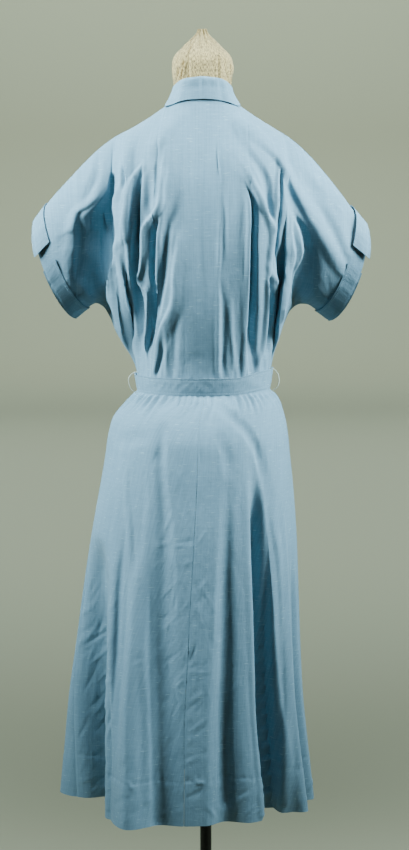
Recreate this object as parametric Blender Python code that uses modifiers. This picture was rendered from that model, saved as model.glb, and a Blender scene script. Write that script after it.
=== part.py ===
"""Short-sleeved cotton dress, seen from its back, on a limbless dress form with a round base.

Metres, +Z up. The origin is the middle of the underside of the base. The back of the dress faces -Y,
its left side is at -X. Cloth pieces are thin closed walls: a grid of faces is extruded once and the
points of both sides are placed by the functions below.
"""
import math
from collections import namedtuple

import bmesh
import bpy
import numpy as np

# Cloth walls and the gaps between pieces
WALL = 0.0016
SEAM_GAP = 0.0003
LYING_GAP = 0.0014

# Heights of the garment
NECK_BACK_Z = 1.498
NECK_SIDE_Z = 1.475
NECK_FRONT_Z = 1.436
WAIST_Z = 1.053
HEM_Z = 0.395

# Half widths and depths of the neckline and the waist
NECK_HALF_WIDTH = 0.057
NECK_BACK_DEPTH = 0.054
NECK_FRONT_DEPTH = 0.059
WAIST_HALF_WIDTH = 0.1015
WAIST_HALF_DEPTH = 0.0835

# Belt, cuffs, button band and buttons
BELT_WIDTH = 0.026
BELT_STAND_OFF = 0.0026
BELT_COLUMNS = 40
CUFF_WIDTH = 0.026
CUFF_OVERHANG = 0.0012
CUFF_NOTCH = 0.36
CUFF_NOTCH_HALF = 0.045
CUFF_STEPS = 26
CUFF_FLARE = 0.012
CUFF_LIFTS = (0.0012, 0.0012, 0.0014, 0.0020)
CUFF_LIFTS_BESIDE_NOTCH = (0.004, 0.003, 0.0015, 0.0)
BAND_HALF_WIDTH = 0.015
BUTTON_RADIUS = 0.0075
BUTTON_THICKNESS = 0.003
BUTTON_GAP = 0.0008
BODICE_BUTTON_HEIGHTS = (1.405, 1.328, 1.251, 1.174, 1.097)
PLACKET_BUTTON_HEIGHTS = (0.972, 0.936)
PLACKET_TOP_Z = 1.0365
PLACKET_END_Z = 0.925
BUCKLE_SIZE = (0.036, 0.004, 0.0265)

# Dress form and its stand
FORM_SEGMENTS = 28
POLE_RADIUS = 0.009
BASE_RADIUS = 0.17
SOCKET_TOP_Z = 0.040
FORM_BOTTOM_Z = 0.800

# Over-arm line of each side, from the neck to the cuff: distance out from the middle, and height
Outline = namedtuple("Outline", "out height")
OVER_ARM = {
    -1: (Outline(0.057, 1.475), Outline(0.083, 1.457), Outline(0.108, 1.4425), Outline(0.136, 1.428),
         Outline(0.160, 1.410), Outline(0.183, 1.388), Outline(0.205, 1.364), Outline(0.228, 1.339),
         Outline(0.252, 1.307)),
    1: (Outline(0.057, 1.475), Outline(0.083, 1.457), Outline(0.108, 1.442), Outline(0.137, 1.4235),
        Outline(0.160, 1.403), Outline(0.185, 1.375), Outline(0.209, 1.344), Outline(0.226, 1.320),
        Outline(0.240, 1.302)),
}

# Side seam and underarm of each side, from the waist to the underside of the cuff
UNDER_ARM = {
    -1: (Outline(0.1015, 1.053), Outline(0.1025, 1.068), Outline(0.111, 1.090), Outline(0.124, 1.112),
         Outline(0.136, 1.134), Outline(0.146, 1.157), Outline(0.155, 1.170), Outline(0.165, 1.175),
         Outline(0.177, 1.169), Outline(0.196, 1.154)),
    1: (Outline(0.1015, 1.053), Outline(0.1025, 1.068), Outline(0.107, 1.090), Outline(0.115, 1.118),
        Outline(0.125, 1.146), Outline(0.135, 1.164), Outline(0.147, 1.172), Outline(0.159, 1.172),
        Outline(0.174, 1.163), Outline(0.193, 1.149)),
}

# Ribs of the bodice, from the centre to the cuff; each row is a crest or a valley of the folds.
# top: 0 centre of the neckline, 1 end of the shoulder at the neck, 2 cuff, along the over-arm line
# low: 0 centre of the waist, 1 side of the waist, 2 underside of the cuff, along the underarm
# bulge: how far the middle of the rib stands off its ends; bow: how far it bends outward
# fold: crest (+) or valley (-) in metres; start: where along the rib the fold begins
Rib = namedtuple("Rib", "top low bulge bow fold start")
BACK_RIBS = {
    -1: (Rib(0.00, 0.00, 0.045, 0.000, 0.000, 0.20), Rib(0.35, 0.40, 0.055, 0.000, -0.004, 0.15),
         Rib(0.75, 0.52, 0.067, 0.002, 0.003, 0.20), Rib(1.00, 0.63, 0.072, 0.006, -0.011, 0.40),
         Rib(1.09, 0.72, 0.074, 0.008, 0.004, 0.30), Rib(1.16, 0.81, 0.077, 0.011, -0.013, 0.18),
         Rib(1.26, 1.00, 0.086, 0.012, 0.005, 0.20), Rib(1.32, 1.26, 0.079, 0.012, 0.006, 0.20),
         Rib(1.37, 1.62, 0.070, 0.000, -0.026, 0.08), Rib(1.46, 1.74, 0.066, 0.000, 0.006, 0.15),
         Rib(1.57, 1.82, 0.062, 0.004, -0.011, 0.32), Rib(1.76, 1.91, 0.054, 0.014, 0.003, 0.30),
         Rib(2.00, 2.00, 0.045, 0.019, 0.000, 0.30)),
    1: (Rib(0.00, 0.00, 0.045, 0.000, 0.000, 0.20), Rib(0.32, 0.22, 0.050, 0.000, -0.002, 0.25),
        Rib(0.65, 0.36, 0.060, 0.004, 0.002, 0.20), Rib(1.00, 0.50, 0.072, 0.010, -0.012, 0.18),
        Rib(1.11, 0.66, 0.075, 0.014, 0.005, 0.20), Rib(1.18, 0.80, 0.078, 0.015, -0.014, 0.14),
        Rib(1.28, 1.00, 0.086, 0.012, 0.006, 0.20), Rib(1.36, 1.62, 0.072, 0.002, -0.020, 0.28),
        Rib(1.50, 1.74, 0.067, 0.004, 0.005, 0.20), Rib(1.64, 1.84, 0.061, 0.008, -0.007, 0.30),
        Rib(1.82, 1.93, 0.052, 0.016, 0.003, 0.30), Rib(2.00, 2.00, 0.045, 0.024, 0.000, 0.30)),
}
FRONT_RIBS = (
    Rib(0.00, 0.00, 0.053, 0.000, 0.000, 0.20), Rib(0.45, 0.22, 0.055, 0.000, 0.002, 0.20),
    Rib(0.80, 0.38, 0.064, 0.000, -0.006, 0.30), Rib(1.00, 0.52, 0.078, 0.004, 0.004, 0.20),
    Rib(1.13, 0.68, 0.086, 0.008, -0.012, 0.16), Rib(1.22, 0.84, 0.090, 0.010, 0.005, 0.20),
    Rib(1.29, 1.00, 0.090, 0.010, -0.009, 0.18), Rib(1.35, 1.30, 0.082, 0.008, 0.006, 0.20),
    Rib(1.42, 1.62, 0.072, 0.000, -0.022, 0.12), Rib(1.54, 1.76, 0.066, 0.002, 0.005, 0.20),
    Rib(1.70, 1.86, 0.057, 0.008, -0.008, 0.30), Rib(2.00, 2.00, 0.045, 0.022, 0.000, 0.30),
)
RIB_STEPS = np.array((0, 0.05, 0.11, 0.18, 0.26, 0.35, 0.45, 0.56, 0.67, 0.78, 0.88, 0.95, 1.0))
COLUMNS_PER_RIB = 2

# Small steps to each side that a surface's normal is taken from
RIB_STEP = 0.02
SHARE_STEP = 0.004
ANGLE_STEP = 1.0
HEIGHT_STEP = 0.004

# Rings of the skirt
Ring = namedtuple("Ring", "height half_width half_depth centre")
SKIRT_RINGS = (
    Ring(1.0527, 0.1015, 0.0835, 0.0), Ring(1.039, 0.1018, 0.0838, 0.0), Ring(1.033, 0.1090, 0.0910, 0.0),
    Ring(1.022, 0.1190, 0.1010, -0.002), Ring(1.003, 0.1310, 0.1130, -0.007),
    Ring(0.975, 0.1385, 0.1250, -0.009), Ring(0.940, 0.1430, 0.1310, -0.010),
    Ring(0.890, 0.1500, 0.1360, -0.012), Ring(0.820, 0.1590, 0.1430, -0.016),
    Ring(0.740, 0.1670, 0.1480, -0.021), Ring(0.650, 0.1750, 0.1540, -0.026),
    Ring(0.560, 0.1845, 0.1600, -0.031), Ring(0.470, 0.1945, 0.1660, -0.032),
    Ring(0.395, 0.2035, 0.1700, -0.033),
)

# Hanging folds of the skirt: angle from the centre back at the top and at the hem, in degrees
# (positive towards the right side), half width, depth at the hem (less than 0 for a crest), and the
# height where it begins
Fold = namedtuple("Fold", "top_angle hem_angle half_width depth start")
SKIRT_FOLDS = (
    Fold(-66, -67, 37, 0.104, 0.84), Fold(-30, -22, 11, -0.032, 0.86), Fold(-44, -34, 5, 0.006, 0.93),
    Fold(-25, -13, 8, 0.020, 0.955), Fold(18, 19, 7, 0.030, 0.93), Fold(27, 31, 7, -0.004, 0.90),
    Fold(36, 47, 12, 0.098, 0.955), Fold(60, 61, 7, -0.014, 0.90), Fold(70, 76, 8, 0.050, 0.82),
    Fold(96, 104, 9, 0.030, 0.90), Fold(122, 127, 10, 0.042, 0.94), Fold(152, 151, 9, 0.030, 0.90),
    Fold(-122, -127, 11, 0.044, 0.94), Fold(-153, -150, 9, 0.032, 0.90),
)
GATHERS = 56
GATHER_DEPTH = 0.0020
COLUMNS_PER_GATHER = 2
FLAT_AT_PLACKET = 10

# Collar from the centre back to the centre front. Its fold line is given by places; its outer edge
# lies on the bodice at a place along the top line and a share of the rib there, lifted off it
CollarRow = namedtuple("CollarRow", "angle fold_out fold_y fold_z edge_top edge_along edge_lift")
COLLAR_ROWS = (
    CollarRow(0, 0.0000, -0.0570, 1.5195, 0.00, 0.030, 0.0060),
    CollarRow(35, 0.0310, -0.0460, 1.5165, 0.42, 0.032, 0.0055),
    CollarRow(70, 0.0480, -0.0190, 1.5070, 0.85, 0.045, 0.0045),
    CollarRow(90, 0.0500, 0.0010, 1.4990, 1.00, 0.060, 0.0040),
    CollarRow(120, 0.0445, 0.0330, 1.4820, 0.98, 0.150, 0.0040),
    CollarRow(150, 0.0270, 0.0560, 1.4640, 0.80, 0.270, 0.0040),
    CollarRow(180, 0.0030, 0.0660, 1.4560, 0.42, 0.230, 0.0040),
)
COLLAR_COLUMNS = 30
COLLAR_FOLD_RADIUS = 0.0028

# Rings of the dress form from its top to its underside; squareness 2 is an ellipse
FormRing = namedtuple("FormRing", "height half_width back front squareness")
FORM_RINGS = (
    FormRing(1.5915, 0.0060, 0.0060, 0.0060, 2.0), FormRing(1.5870, 0.0120, 0.0120, 0.0120, 2.0),
    FormRing(1.5700, 0.0290, 0.0290, 0.0290, 2.0), FormRing(1.5500, 0.0440, 0.0440, 0.0440, 2.0),
    FormRing(1.5300, 0.0475, 0.0475, 0.0475, 2.0), FormRing(1.5050, 0.0465, 0.0470, 0.0470, 2.0),
    FormRing(1.4800, 0.0470, 0.0480, 0.0470, 2.0), FormRing(1.4670, 0.0640, 0.0510, 0.0475, 1.6),
    FormRing(1.4500, 0.0890, 0.0580, 0.0480, 1.5), FormRing(1.4300, 0.1190, 0.0680, 0.0520, 1.7),
    FormRing(1.4100, 0.1360, 0.0760, 0.0620, 1.9), FormRing(1.3800, 0.1400, 0.0860, 0.0760, 2.1),
    FormRing(1.3300, 0.1310, 0.0930, 0.0940, 2.2), FormRing(1.2700, 0.1240, 0.0930, 0.1050, 2.2),
    FormRing(1.2000, 0.1160, 0.0880, 0.1000, 2.1), FormRing(1.1200, 0.1030, 0.0800, 0.0860, 2.0),
    FormRing(1.0560, 0.0984, 0.0800, 0.0800, 2.0), FormRing(1.0350, 0.0986, 0.0802, 0.0802, 2.0),
    FormRing(0.9900, 0.1120, 0.0900, 0.0860, 2.1), FormRing(0.9300, 0.1240, 0.1000, 0.0920, 2.2),
    FormRing(0.8700, 0.1260, 0.1000, 0.0940, 2.2), FormRing(0.8200, 0.1210, 0.0950, 0.0910, 2.2),
    FormRing(FORM_BOTTOM_Z, 0.1140, 0.0890, 0.0850, 2.2),
)


def smooth_read(places, values, at):
    """Value of a table at any place, on a smooth curve through its rows"""
    places, values, at = np.asarray(places, float), np.asarray(values, float), np.asarray(at, float)
    slopes = np.gradient(values, places)
    index = np.clip(np.searchsorted(places, at, side="right") - 1, 0, len(places) - 2)
    span = places[index + 1] - places[index]
    t = (np.clip(at, places[0], places[-1]) - places[index]) / span
    return (
        (2 * t**3 - 3 * t**2 + 1) * values[index]
        + (t**3 - 2 * t**2 + t) * span * slopes[index]
        + (3 * t**2 - 2 * t**3) * values[index + 1]
        + (t**3 - t**2) * span * slopes[index + 1]
    )


def column(rows, field):
    """One named column of a table"""
    return np.array([getattr(row, field) for row in rows], float)


def ease(value):
    """Smooth step from 0 to 1"""
    value = np.clip(value, 0.0, 1.0)
    return value * value * (3 - 2 * value)


def on_outline(rows, share):
    """Point of an outline at a share of its length: distance out, and height"""
    out, height = column(rows, "out"), column(rows, "height")
    length = np.concatenate(([0.0], np.cumsum(np.hypot(np.diff(out), np.diff(height)))))
    length /= length[-1]
    return smooth_read(length, out, share), smooth_read(length, height, share)


def top_line(side, front, top):
    """Upper end of the ribs: along the neckline, then along the over-arm line"""
    angle = np.clip(top, 0, 1) * math.pi / 2
    centre_z = NECK_FRONT_Z if front else NECK_BACK_Z
    neck_depth = NECK_FRONT_DEPTH if front else NECK_BACK_DEPTH
    out, height = on_outline(OVER_ARM[side], np.clip(top - 1, 0, 1))
    on_neck = top < 1
    x = np.where(on_neck, NECK_HALF_WIDTH * np.sin(angle), out)
    depth = np.where(on_neck, neck_depth * np.cos(angle), 0.0)
    z = np.where(on_neck, NECK_SIDE_Z + (centre_z - NECK_SIDE_Z) * np.cos(angle) ** 2, height)
    return x, depth, z


def low_line(side, low):
    """Lower end of the ribs: along the waist, then up the side seam and along the underarm"""
    angle = np.clip(low, 0, 1) * math.pi / 2
    out, height = on_outline(UNDER_ARM[side], np.clip(low - 1, 0, 1))
    on_waist = low < 1
    x = np.where(on_waist, WAIST_HALF_WIDTH * np.sin(angle), out)
    depth = np.where(on_waist, WAIST_HALF_DEPTH * np.cos(angle), 0.0)
    return x, depth, np.where(on_waist, WAIST_Z, height)


def bodice_point(side, front, rib, along):
    """Outer point of the bodice on a rib (0 at the centre) at a share of the rib's length"""
    rows = FRONT_RIBS if front else BACK_RIBS[side]
    places = np.arange(len(rows))
    top = smooth_read(places, column(rows, "top"), rib)
    low = smooth_read(places, column(rows, "low"), rib)
    bulge, bow, fold, start = (smooth_read(places, column(rows, f), rib) for f in Rib._fields[2:])
    top_x, top_depth, top_z = top_line(side, front, top)
    low_x, low_depth, low_z = low_line(side, low)
    over_shoulder = ease(top)
    on_side = ease((low - 1) / 0.35)
    quarter = 1 - np.cos(math.pi * along / 2)
    half = (1 - np.cos(math.pi * along)) / 2
    drop = (1 - over_shoulder) * along + over_shoulder * ((1 - on_side) * quarter + on_side * half)
    reach = (1 - over_shoulder) * along + over_shoulder * np.sin(math.pi * along / 2)
    swell = np.sin(math.pi * along) * (1 - (1 - on_side) * along**9)
    kept_at_waist = 0.1 * (1 - ease((low - 0.8) / 0.2))
    folded = ease((along - start) / 0.22) * (1 - (1 - kept_at_waist) * ease((along - 0.72) / 0.28))
    depth = top_depth * (1 - reach) + low_depth * reach + bulge * swell + fold * folded + SEAM_GAP / 2
    x = top_x + (low_x - top_x) * drop + bow * swell
    z = top_z + (low_z - top_z) * drop
    return np.stack((side * x, depth if front else -depth, z), axis=-1)


def bodice_normal(side, front, rib, along):
    """Outward unit normal of the bodice, from small steps across and along its ribs"""
    last = len(FRONT_RIBS if front else BACK_RIBS[side]) - 1
    before, after = np.maximum(rib - RIB_STEP, 0), np.minimum(rib + RIB_STEP, last)
    above, below = np.maximum(along - SHARE_STEP, 0), np.minimum(along + SHARE_STEP, 1)
    across = bodice_point(side, front, after, along) - bodice_point(side, front, before, along)
    down = bodice_point(side, front, rib, below) - bodice_point(side, front, rib, above)
    normal = np.cross(across, down)
    normal /= np.linalg.norm(normal, axis=-1, keepdims=True)
    return normal * side * (1 if front else -1)


def bodice_half(side, front):
    """Outer and inner points of one half of the back or of one front, from the centre to the cuff"""
    rows = FRONT_RIBS if front else BACK_RIBS[side]
    rib = np.linspace(0, len(rows) - 1, COLUMNS_PER_RIB * (len(rows) - 1) + 1)
    rib, along = np.meshgrid(rib, RIB_STEPS, indexing="ij")
    outside = bodice_point(side, front, rib, along)
    normal = bodice_normal(side, front, rib, along)
    places = np.arange(len(rows))
    top = smooth_read(places, column(rows, "top"), rib[:, 0])
    low = smooth_read(places, column(rows, "low"), rib[:, 0])
    # Edges are cut square to their seam: sideways at the seams, level at the waist
    normal[0, :, 0] = 0.0
    normal[top > 0.999, 0, 1] = 0.0
    normal[low > 0.999, -1, 1] = 0.0
    normal[low < 1.001, -1, 2] = 0.0
    normal /= np.linalg.norm(normal, axis=-1, keepdims=True)
    if front:
        outside[0, :, 0] = side * SEAM_GAP / 2
    return outside, outside - WALL * normal


def skirt_point(angle, height):
    """Outer point of the skirt at an angle from the centre back, in degrees, and a height"""
    heights = column(SKIRT_RINGS, "height")[::-1]
    half_width, half_depth, centre = (
        smooth_read(heights, column(SKIRT_RINGS, f)[::-1], height) for f in Ring._fields[1:]
    )
    turn = np.radians(angle)
    outward = np.stack((np.sin(turn) / half_width, -np.cos(turn) / half_depth), axis=-1)
    outward /= np.linalg.norm(outward, axis=-1, keepdims=True)
    inward_depth = np.zeros(np.broadcast(angle, height).shape)
    for fold in SKIRT_FOLDS:
        grown = np.clip((fold.start - height) / (fold.start - HEM_Z), 0, 1)
        middle = fold.top_angle + (fold.hem_angle - fold.top_angle) * grown
        half_angle = fold.half_width * (0.5 + 0.5 * grown)
        apart = (angle - middle + 180) % 360 - 180
        trough = np.cos(math.pi / 2 * np.clip(apart / half_angle, -1, 1)) ** 2
        inward_depth = inward_depth + fold.depth * grown**0.9 * trough
    below_belt = ease((1.043 - height) / 0.016) * (1 - ease((1.02 - height) / 0.10))
    beside_placket = ease((180 - np.abs((angle + 180) % 360 - 180) - FLAT_AT_PLACKET) / 5)
    gathers = GATHER_DEPTH * np.cos(turn * GATHERS) * below_belt * beside_placket
    x = centre + half_width * np.sin(turn) + outward[..., 0] * (gathers - inward_depth)
    y = -half_depth * np.cos(turn) + outward[..., 1] * (gathers - inward_depth)
    return np.stack((x, y, height + 0 * angle), axis=-1)


def skirt_normal(angle, height):
    """Outward normal of the skirt"""
    around = skirt_point(angle + ANGLE_STEP, height) - skirt_point(angle - ANGLE_STEP, height)
    higher = np.minimum(height + HEIGHT_STEP, SKIRT_RINGS[0].height)
    lower = np.maximum(height - HEIGHT_STEP, HEM_Z)
    normal = np.cross(around, skirt_point(angle, higher) - skirt_point(angle, lower))
    return normal / np.linalg.norm(normal, axis=-1, keepdims=True)


def skirt_gore(first_angle):
    """Outer and inner points of the quarter of the skirt that starts at an angle"""
    steps = GATHERS * COLUMNS_PER_GATHER // 4
    angles = np.linspace(first_angle, first_angle + 90, steps + 1)
    angle, height = np.meshgrid(angles, column(SKIRT_RINGS, "height"), indexing="ij")
    outside = skirt_point(angle, height)
    normal = skirt_normal(angle, height)
    normal[:, (0, -1), 2] = 0.0
    normal /= np.linalg.norm(normal, axis=-1, keepdims=True)
    # The piece stops half a gap short of each seam
    around = skirt_point(angle + ANGLE_STEP, height) - skirt_point(angle - ANGLE_STEP, height)
    around[..., 2] = 0.0
    around /= np.linalg.norm(around, axis=-1, keepdims=True)
    outside[0] += SEAM_GAP / 2 * around[0]
    outside[-1] -= SEAM_GAP / 2 * around[-1]
    return outside, outside - WALL * normal


def cuff_grids(side):
    """Outer and inner points of a turned-up cuff, from one side of its notch round to the other"""
    ring = np.linspace(CUFF_NOTCH + CUFF_NOTCH_HALF, 2 + CUFF_NOTCH - CUFF_NOTCH_HALF, CUFF_STEPS + 1)
    back_last, front_last = len(BACK_RIBS[side]) - 1, len(FRONT_RIBS) - 1
    rows = []
    for place in ring:
        # Down the back of the sleeve, up its front, and down its back again to the notch
        front = 1 < place < 2
        along = 2 - place if front else (place if place <= 1 else place - 2)
        last = front_last if front else back_last
        ribs = np.linspace(last, last - 3.0, 60)
        share = np.full_like(ribs, along)
        path = bodice_point(side, front, ribs, share)
        length = np.concatenate(([0.0], np.cumsum(np.linalg.norm(np.diff(path, axis=0), axis=1))))
        levels = np.array((0.0, 0.35, 0.7, 1.0)) * CUFF_WIDTH
        at = np.interp(levels, length, ribs)
        points = bodice_point(side, front, at, np.full_like(at, along))
        normals = bodice_normal(side, front, at, np.full_like(at, along))
        off_end = path[0] - path[3]
        off_end /= np.linalg.norm(off_end)
        beside_notch = ease((place - (2 + CUFF_NOTCH - 0.30)) / 0.26)
        points[0] += off_end * (CUFF_OVERHANG + CUFF_FLARE * beside_notch)
        lift = np.array(CUFF_LIFTS) + np.array(CUFF_LIFTS_BESIDE_NOTCH) * beside_notch
        rows.append((points + normals * lift[:, None], normals))
    inside = np.array([row[0] for row in rows])
    normals = np.array([row[1] for row in rows])
    return inside + WALL * normals, inside


def collar_grids():
    """Outer and inner points of the turn-down collar: stand, fold and fall, from front to front"""
    angles = np.linspace(-180, 180, COLLAR_COLUMNS + 1)
    places, side = np.abs(angles), np.where(angles < 0, -1.0, 1.0)
    values = [smooth_read(column(COLLAR_ROWS, "angle"), column(COLLAR_ROWS, f), places)
              for f in CollarRow._fields[1:]]
    fold_out, fold_y, fold_z, edge_top, edge_along, edge_lift = values
    turn = np.radians(places)
    back = places < 90
    sewn_depth = np.where(back, NECK_BACK_DEPTH, NECK_FRONT_DEPTH)
    centre_z = np.where(back, NECK_BACK_Z, NECK_FRONT_Z)
    sewn = np.stack((side * (NECK_HALF_WIDTH * np.sin(turn)), -sewn_depth * np.cos(turn),
                     NECK_SIDE_Z + (centre_z - NECK_SIDE_Z) * np.cos(turn) ** 2 + 2 * SEAM_GAP), axis=-1)
    sewn[:, 0] += side * np.where(places > 179, 0.003, 0.0)
    fold = np.stack((side * fold_out, fold_y, fold_z), axis=-1)
    edge = np.empty_like(fold)
    for place in range(len(angles)):
        front = not back[place]
        rows = FRONT_RIBS if front else BACK_RIBS[side[place]]
        rib = np.interp(edge_top[place], column(rows, "top"), np.arange(len(rows)))
        spot = (side[place], front, np.array(rib), edge_along[place])
        edge[place] = bodice_point(*spot) + edge_lift[place] * bodice_normal(*spot)
    outward = edge - sewn
    outward[:, 2] = 0.0
    outward /= np.linalg.norm(outward, axis=-1, keepdims=True)
    up = np.array((0.0, 0.0, 1.0))
    radius = COLLAR_FOLD_RADIUS
    middle = 0.5 * (fold + edge) + 0.003 * outward + 0.002 * up
    lines = (sewn, fold - radius * outward - radius * up, fold - 0.7 * radius * outward,
             fold + 0.3 * radius * outward, middle, edge)
    outside = np.stack(lines, axis=1)
    across = np.gradient(outside, axis=0)
    down = np.gradient(outside, axis=1)
    normal = np.cross(across, down)
    normal /= np.linalg.norm(normal, axis=-1, keepdims=True)
    flip = np.sign(np.sum(normal[:, -1] * outward, axis=-1))
    normal *= flip[:, None, None]
    return outside, outside - WALL * normal


def belt_grids():
    """Outer and inner points of the belt, whose ends meet at the centre front"""
    gap_angle = math.degrees(SEAM_GAP / WAIST_HALF_WIDTH)
    angles = np.linspace(-180 + gap_angle, 180 - gap_angle, BELT_COLUMNS + 1)
    heights = WAIST_Z + BELT_WIDTH * np.array((-0.5, 0.5))
    angle, height = np.meshgrid(np.radians(angles), heights, indexing="ij")
    grids = []
    for off in (BELT_STAND_OFF + WALL, BELT_STAND_OFF):
        x = (WAIST_HALF_WIDTH + off) * np.sin(angle)
        y = -(WAIST_HALF_DEPTH + off) * np.cos(angle)
        grids.append(np.stack((x, y, height), axis=-1))
    return grids


def band_grids(point, normal, heights):
    """Outer and inner points of a strip laid on the centre front, from a surface's points moved out"""
    inside, normals = [], []
    for height in heights:
        row, row_normals = [], []
        for across in np.linspace(-BAND_HALF_WIDTH, BAND_HALF_WIDTH, 4):
            row.append(point(across, height))
            row_normals.append(normal(across, height))
        inside.append(row)
        normals.append(row_normals)
    normals = np.array(normals)
    inside = np.array(inside) + LYING_GAP * normals
    return inside + WALL * normals, inside


def front_place(across, height):
    """Rib and share of its length of the front at a distance from the centre front and a height"""
    side = -1 if across < 0 else 1
    rib, along = np.array(0.0), np.array(0.5)
    for _ in range(12):
        heights = bodice_point(side, True, np.full(101, rib), np.linspace(0, 1, 101))[:, 2]
        along = np.interp(-height, -heights, np.linspace(0, 1, 101))
        ribs = np.linspace(0, 3, 61)
        outs = np.abs(bodice_point(side, True, ribs, np.full(61, along))[:, 0])
        rib = np.interp(abs(across), outs, ribs)
    return side, np.array(rib), np.array(along)


def front_bodice_point(across, height):
    """Outer point of the front of the bodice near the centre front"""
    side, rib, along = front_place(across, height)
    return bodice_point(side, True, rib, along)


def front_bodice_normal(across, height):
    """Normal of the front of the bodice near the centre front"""
    side, rib, along = front_place(across, height)
    return bodice_normal(side, True, np.maximum(rib, 0.05), along)


def front_skirt_angle(across, height):
    """Angle on the skirt of a point at a distance from the centre front"""
    ring = smooth_read(column(SKIRT_RINGS, "height")[::-1], column(SKIRT_RINGS, "half_width")[::-1], height)
    return np.array(180 - math.degrees(math.asin(across / ring)))


def front_skirt_point(across, height):
    """Outer point of the front of the skirt near the centre front"""
    return skirt_point(front_skirt_angle(across, height), np.array(height))


def front_skirt_normal(across, height):
    """Normal of the front of the skirt near the centre front"""
    return skirt_normal(front_skirt_angle(across, height), np.array(height))


def principled(name, colour, roughness, metallic=0.0):
    """Plain material of one piece"""
    material = bpy.data.materials.new(name)
    material.use_nodes = True
    shader = material.node_tree.nodes["Principled BSDF"]
    shader.inputs["Base Color"].default_value = (*colour, 1.0)
    shader.inputs["Roughness"].default_value = roughness
    shader.inputs["Metallic"].default_value = metallic
    return material


def add_object(collection, name, mesh, material, smooth_angle=40):
    """Object in the collection, with its material and smooth shading"""
    part = bpy.data.objects.new(name, mesh)
    collection.objects.link(part)
    mesh.materials.append(material)
    mesh.shade_smooth()
    mesh.set_sharp_from_angle(angle=math.radians(smooth_angle))
    return part


def cloth_wall(collection, name, outside, inside):
    """Closed wall of cloth between a grid of outer points and a grid of inner points"""
    columns, rows = outside.shape[:2]
    shape = bmesh.new()
    bmesh.ops.create_grid(shape, x_segments=columns - 1, y_segments=rows - 1, size=1.0)
    across = shape.verts.layers.int.new("across")
    down = shape.verts.layers.int.new("down")
    for vert in shape.verts:
        vert[across] = round((vert.co.x + 1) / 2 * (columns - 1))
        vert[down] = round((vert.co.y + 1) / 2 * (rows - 1))
        vert.co = outside[vert[across], vert[down]]
    sheet = shape.verts[:] + shape.edges[:] + shape.faces[:]
    grown = bmesh.ops.extrude_face_region(shape, geom=sheet, use_keep_orig=True)
    for piece in grown["geom"]:
        if isinstance(piece, bmesh.types.BMVert):
            piece.co = inside[piece[across], piece[down]]
    bmesh.ops.recalc_face_normals(shape, faces=shape.faces[:])
    if shape.calc_volume(signed=True) < 0:
        bmesh.ops.reverse_faces(shape, faces=shape.faces[:])
    mesh = bpy.data.meshes.new(name)
    shape.to_mesh(mesh)
    shape.free()
    return add_object(collection, name, mesh, principled(f"{name} blue cotton", (0.33, 0.52, 0.66), 0.85))


def add_bodice(collection):
    """Back in one piece with the backs of both sleeves, and two fronts with theirs"""
    left, right = bodice_half(-1, False), bodice_half(1, False)
    outside, inside = (np.concatenate((a[::-1], b[1:])) for a, b in zip(left, right))
    cloth_wall(collection, "bodice_back", outside, inside)
    cloth_wall(collection, "bodice_front_left", *bodice_half(-1, True))
    cloth_wall(collection, "bodice_front_right", *bodice_half(1, True))


def add_skirt(collection):
    """Four gores, gathered at the waist, with a seam at each quarter"""
    for name, first_angle in (("skirt_back_left", -90), ("skirt_back_right", 0),
                              ("skirt_front_right", 90), ("skirt_front_left", 180)):
        cloth_wall(collection, name, *skirt_gore(first_angle))


def add_trim(collection):
    """Collar, cuffs, belt, button band and skirt placket"""
    cloth_wall(collection, "collar", *collar_grids())
    cloth_wall(collection, "cuff_left", *cuff_grids(-1))
    cloth_wall(collection, "cuff_right", *cuff_grids(1))
    cloth_wall(collection, "belt", *belt_grids())
    bodice_heights = np.linspace(NECK_FRONT_Z - 0.012, WAIST_Z + BELT_WIDTH / 2 + 0.0015, 13)
    cloth_wall(collection, "button_band",
               *band_grids(front_bodice_point, front_bodice_normal, bodice_heights))
    placket_heights = np.linspace(PLACKET_TOP_Z, PLACKET_END_Z, 10)
    cloth_wall(collection, "skirt_placket",
               *band_grids(front_skirt_point, front_skirt_normal, placket_heights))


def take_active(collection, name):
    """Give the object that was just added its name, and move it to the collection"""
    part = bpy.context.object
    part.name = part.data.name = name
    for owner in part.users_collection:
        owner.objects.unlink(part)
    collection.objects.link(part)
    return part


def add_button(collection, name, seat, normal):
    """Round button whose back lies just off the band"""
    bpy.ops.mesh.primitive_cylinder_add(vertices=14, radius=BUTTON_RADIUS, depth=BUTTON_THICKNESS)
    button = take_active(collection, name)
    facing = np.asarray(normal)
    tilt = math.atan2(facing[2], math.hypot(facing[0], facing[1]))
    turn = math.atan2(facing[1], facing[0])
    button.rotation_euler = (0, math.pi / 2 - tilt, turn)
    lift = LYING_GAP + WALL + BUTTON_GAP + BUTTON_THICKNESS / 2
    button.location = np.asarray(seat) + facing * lift
    button.data.materials.append(principled(f"{name} plastic", (0.36, 0.54, 0.66), 0.35))


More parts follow.
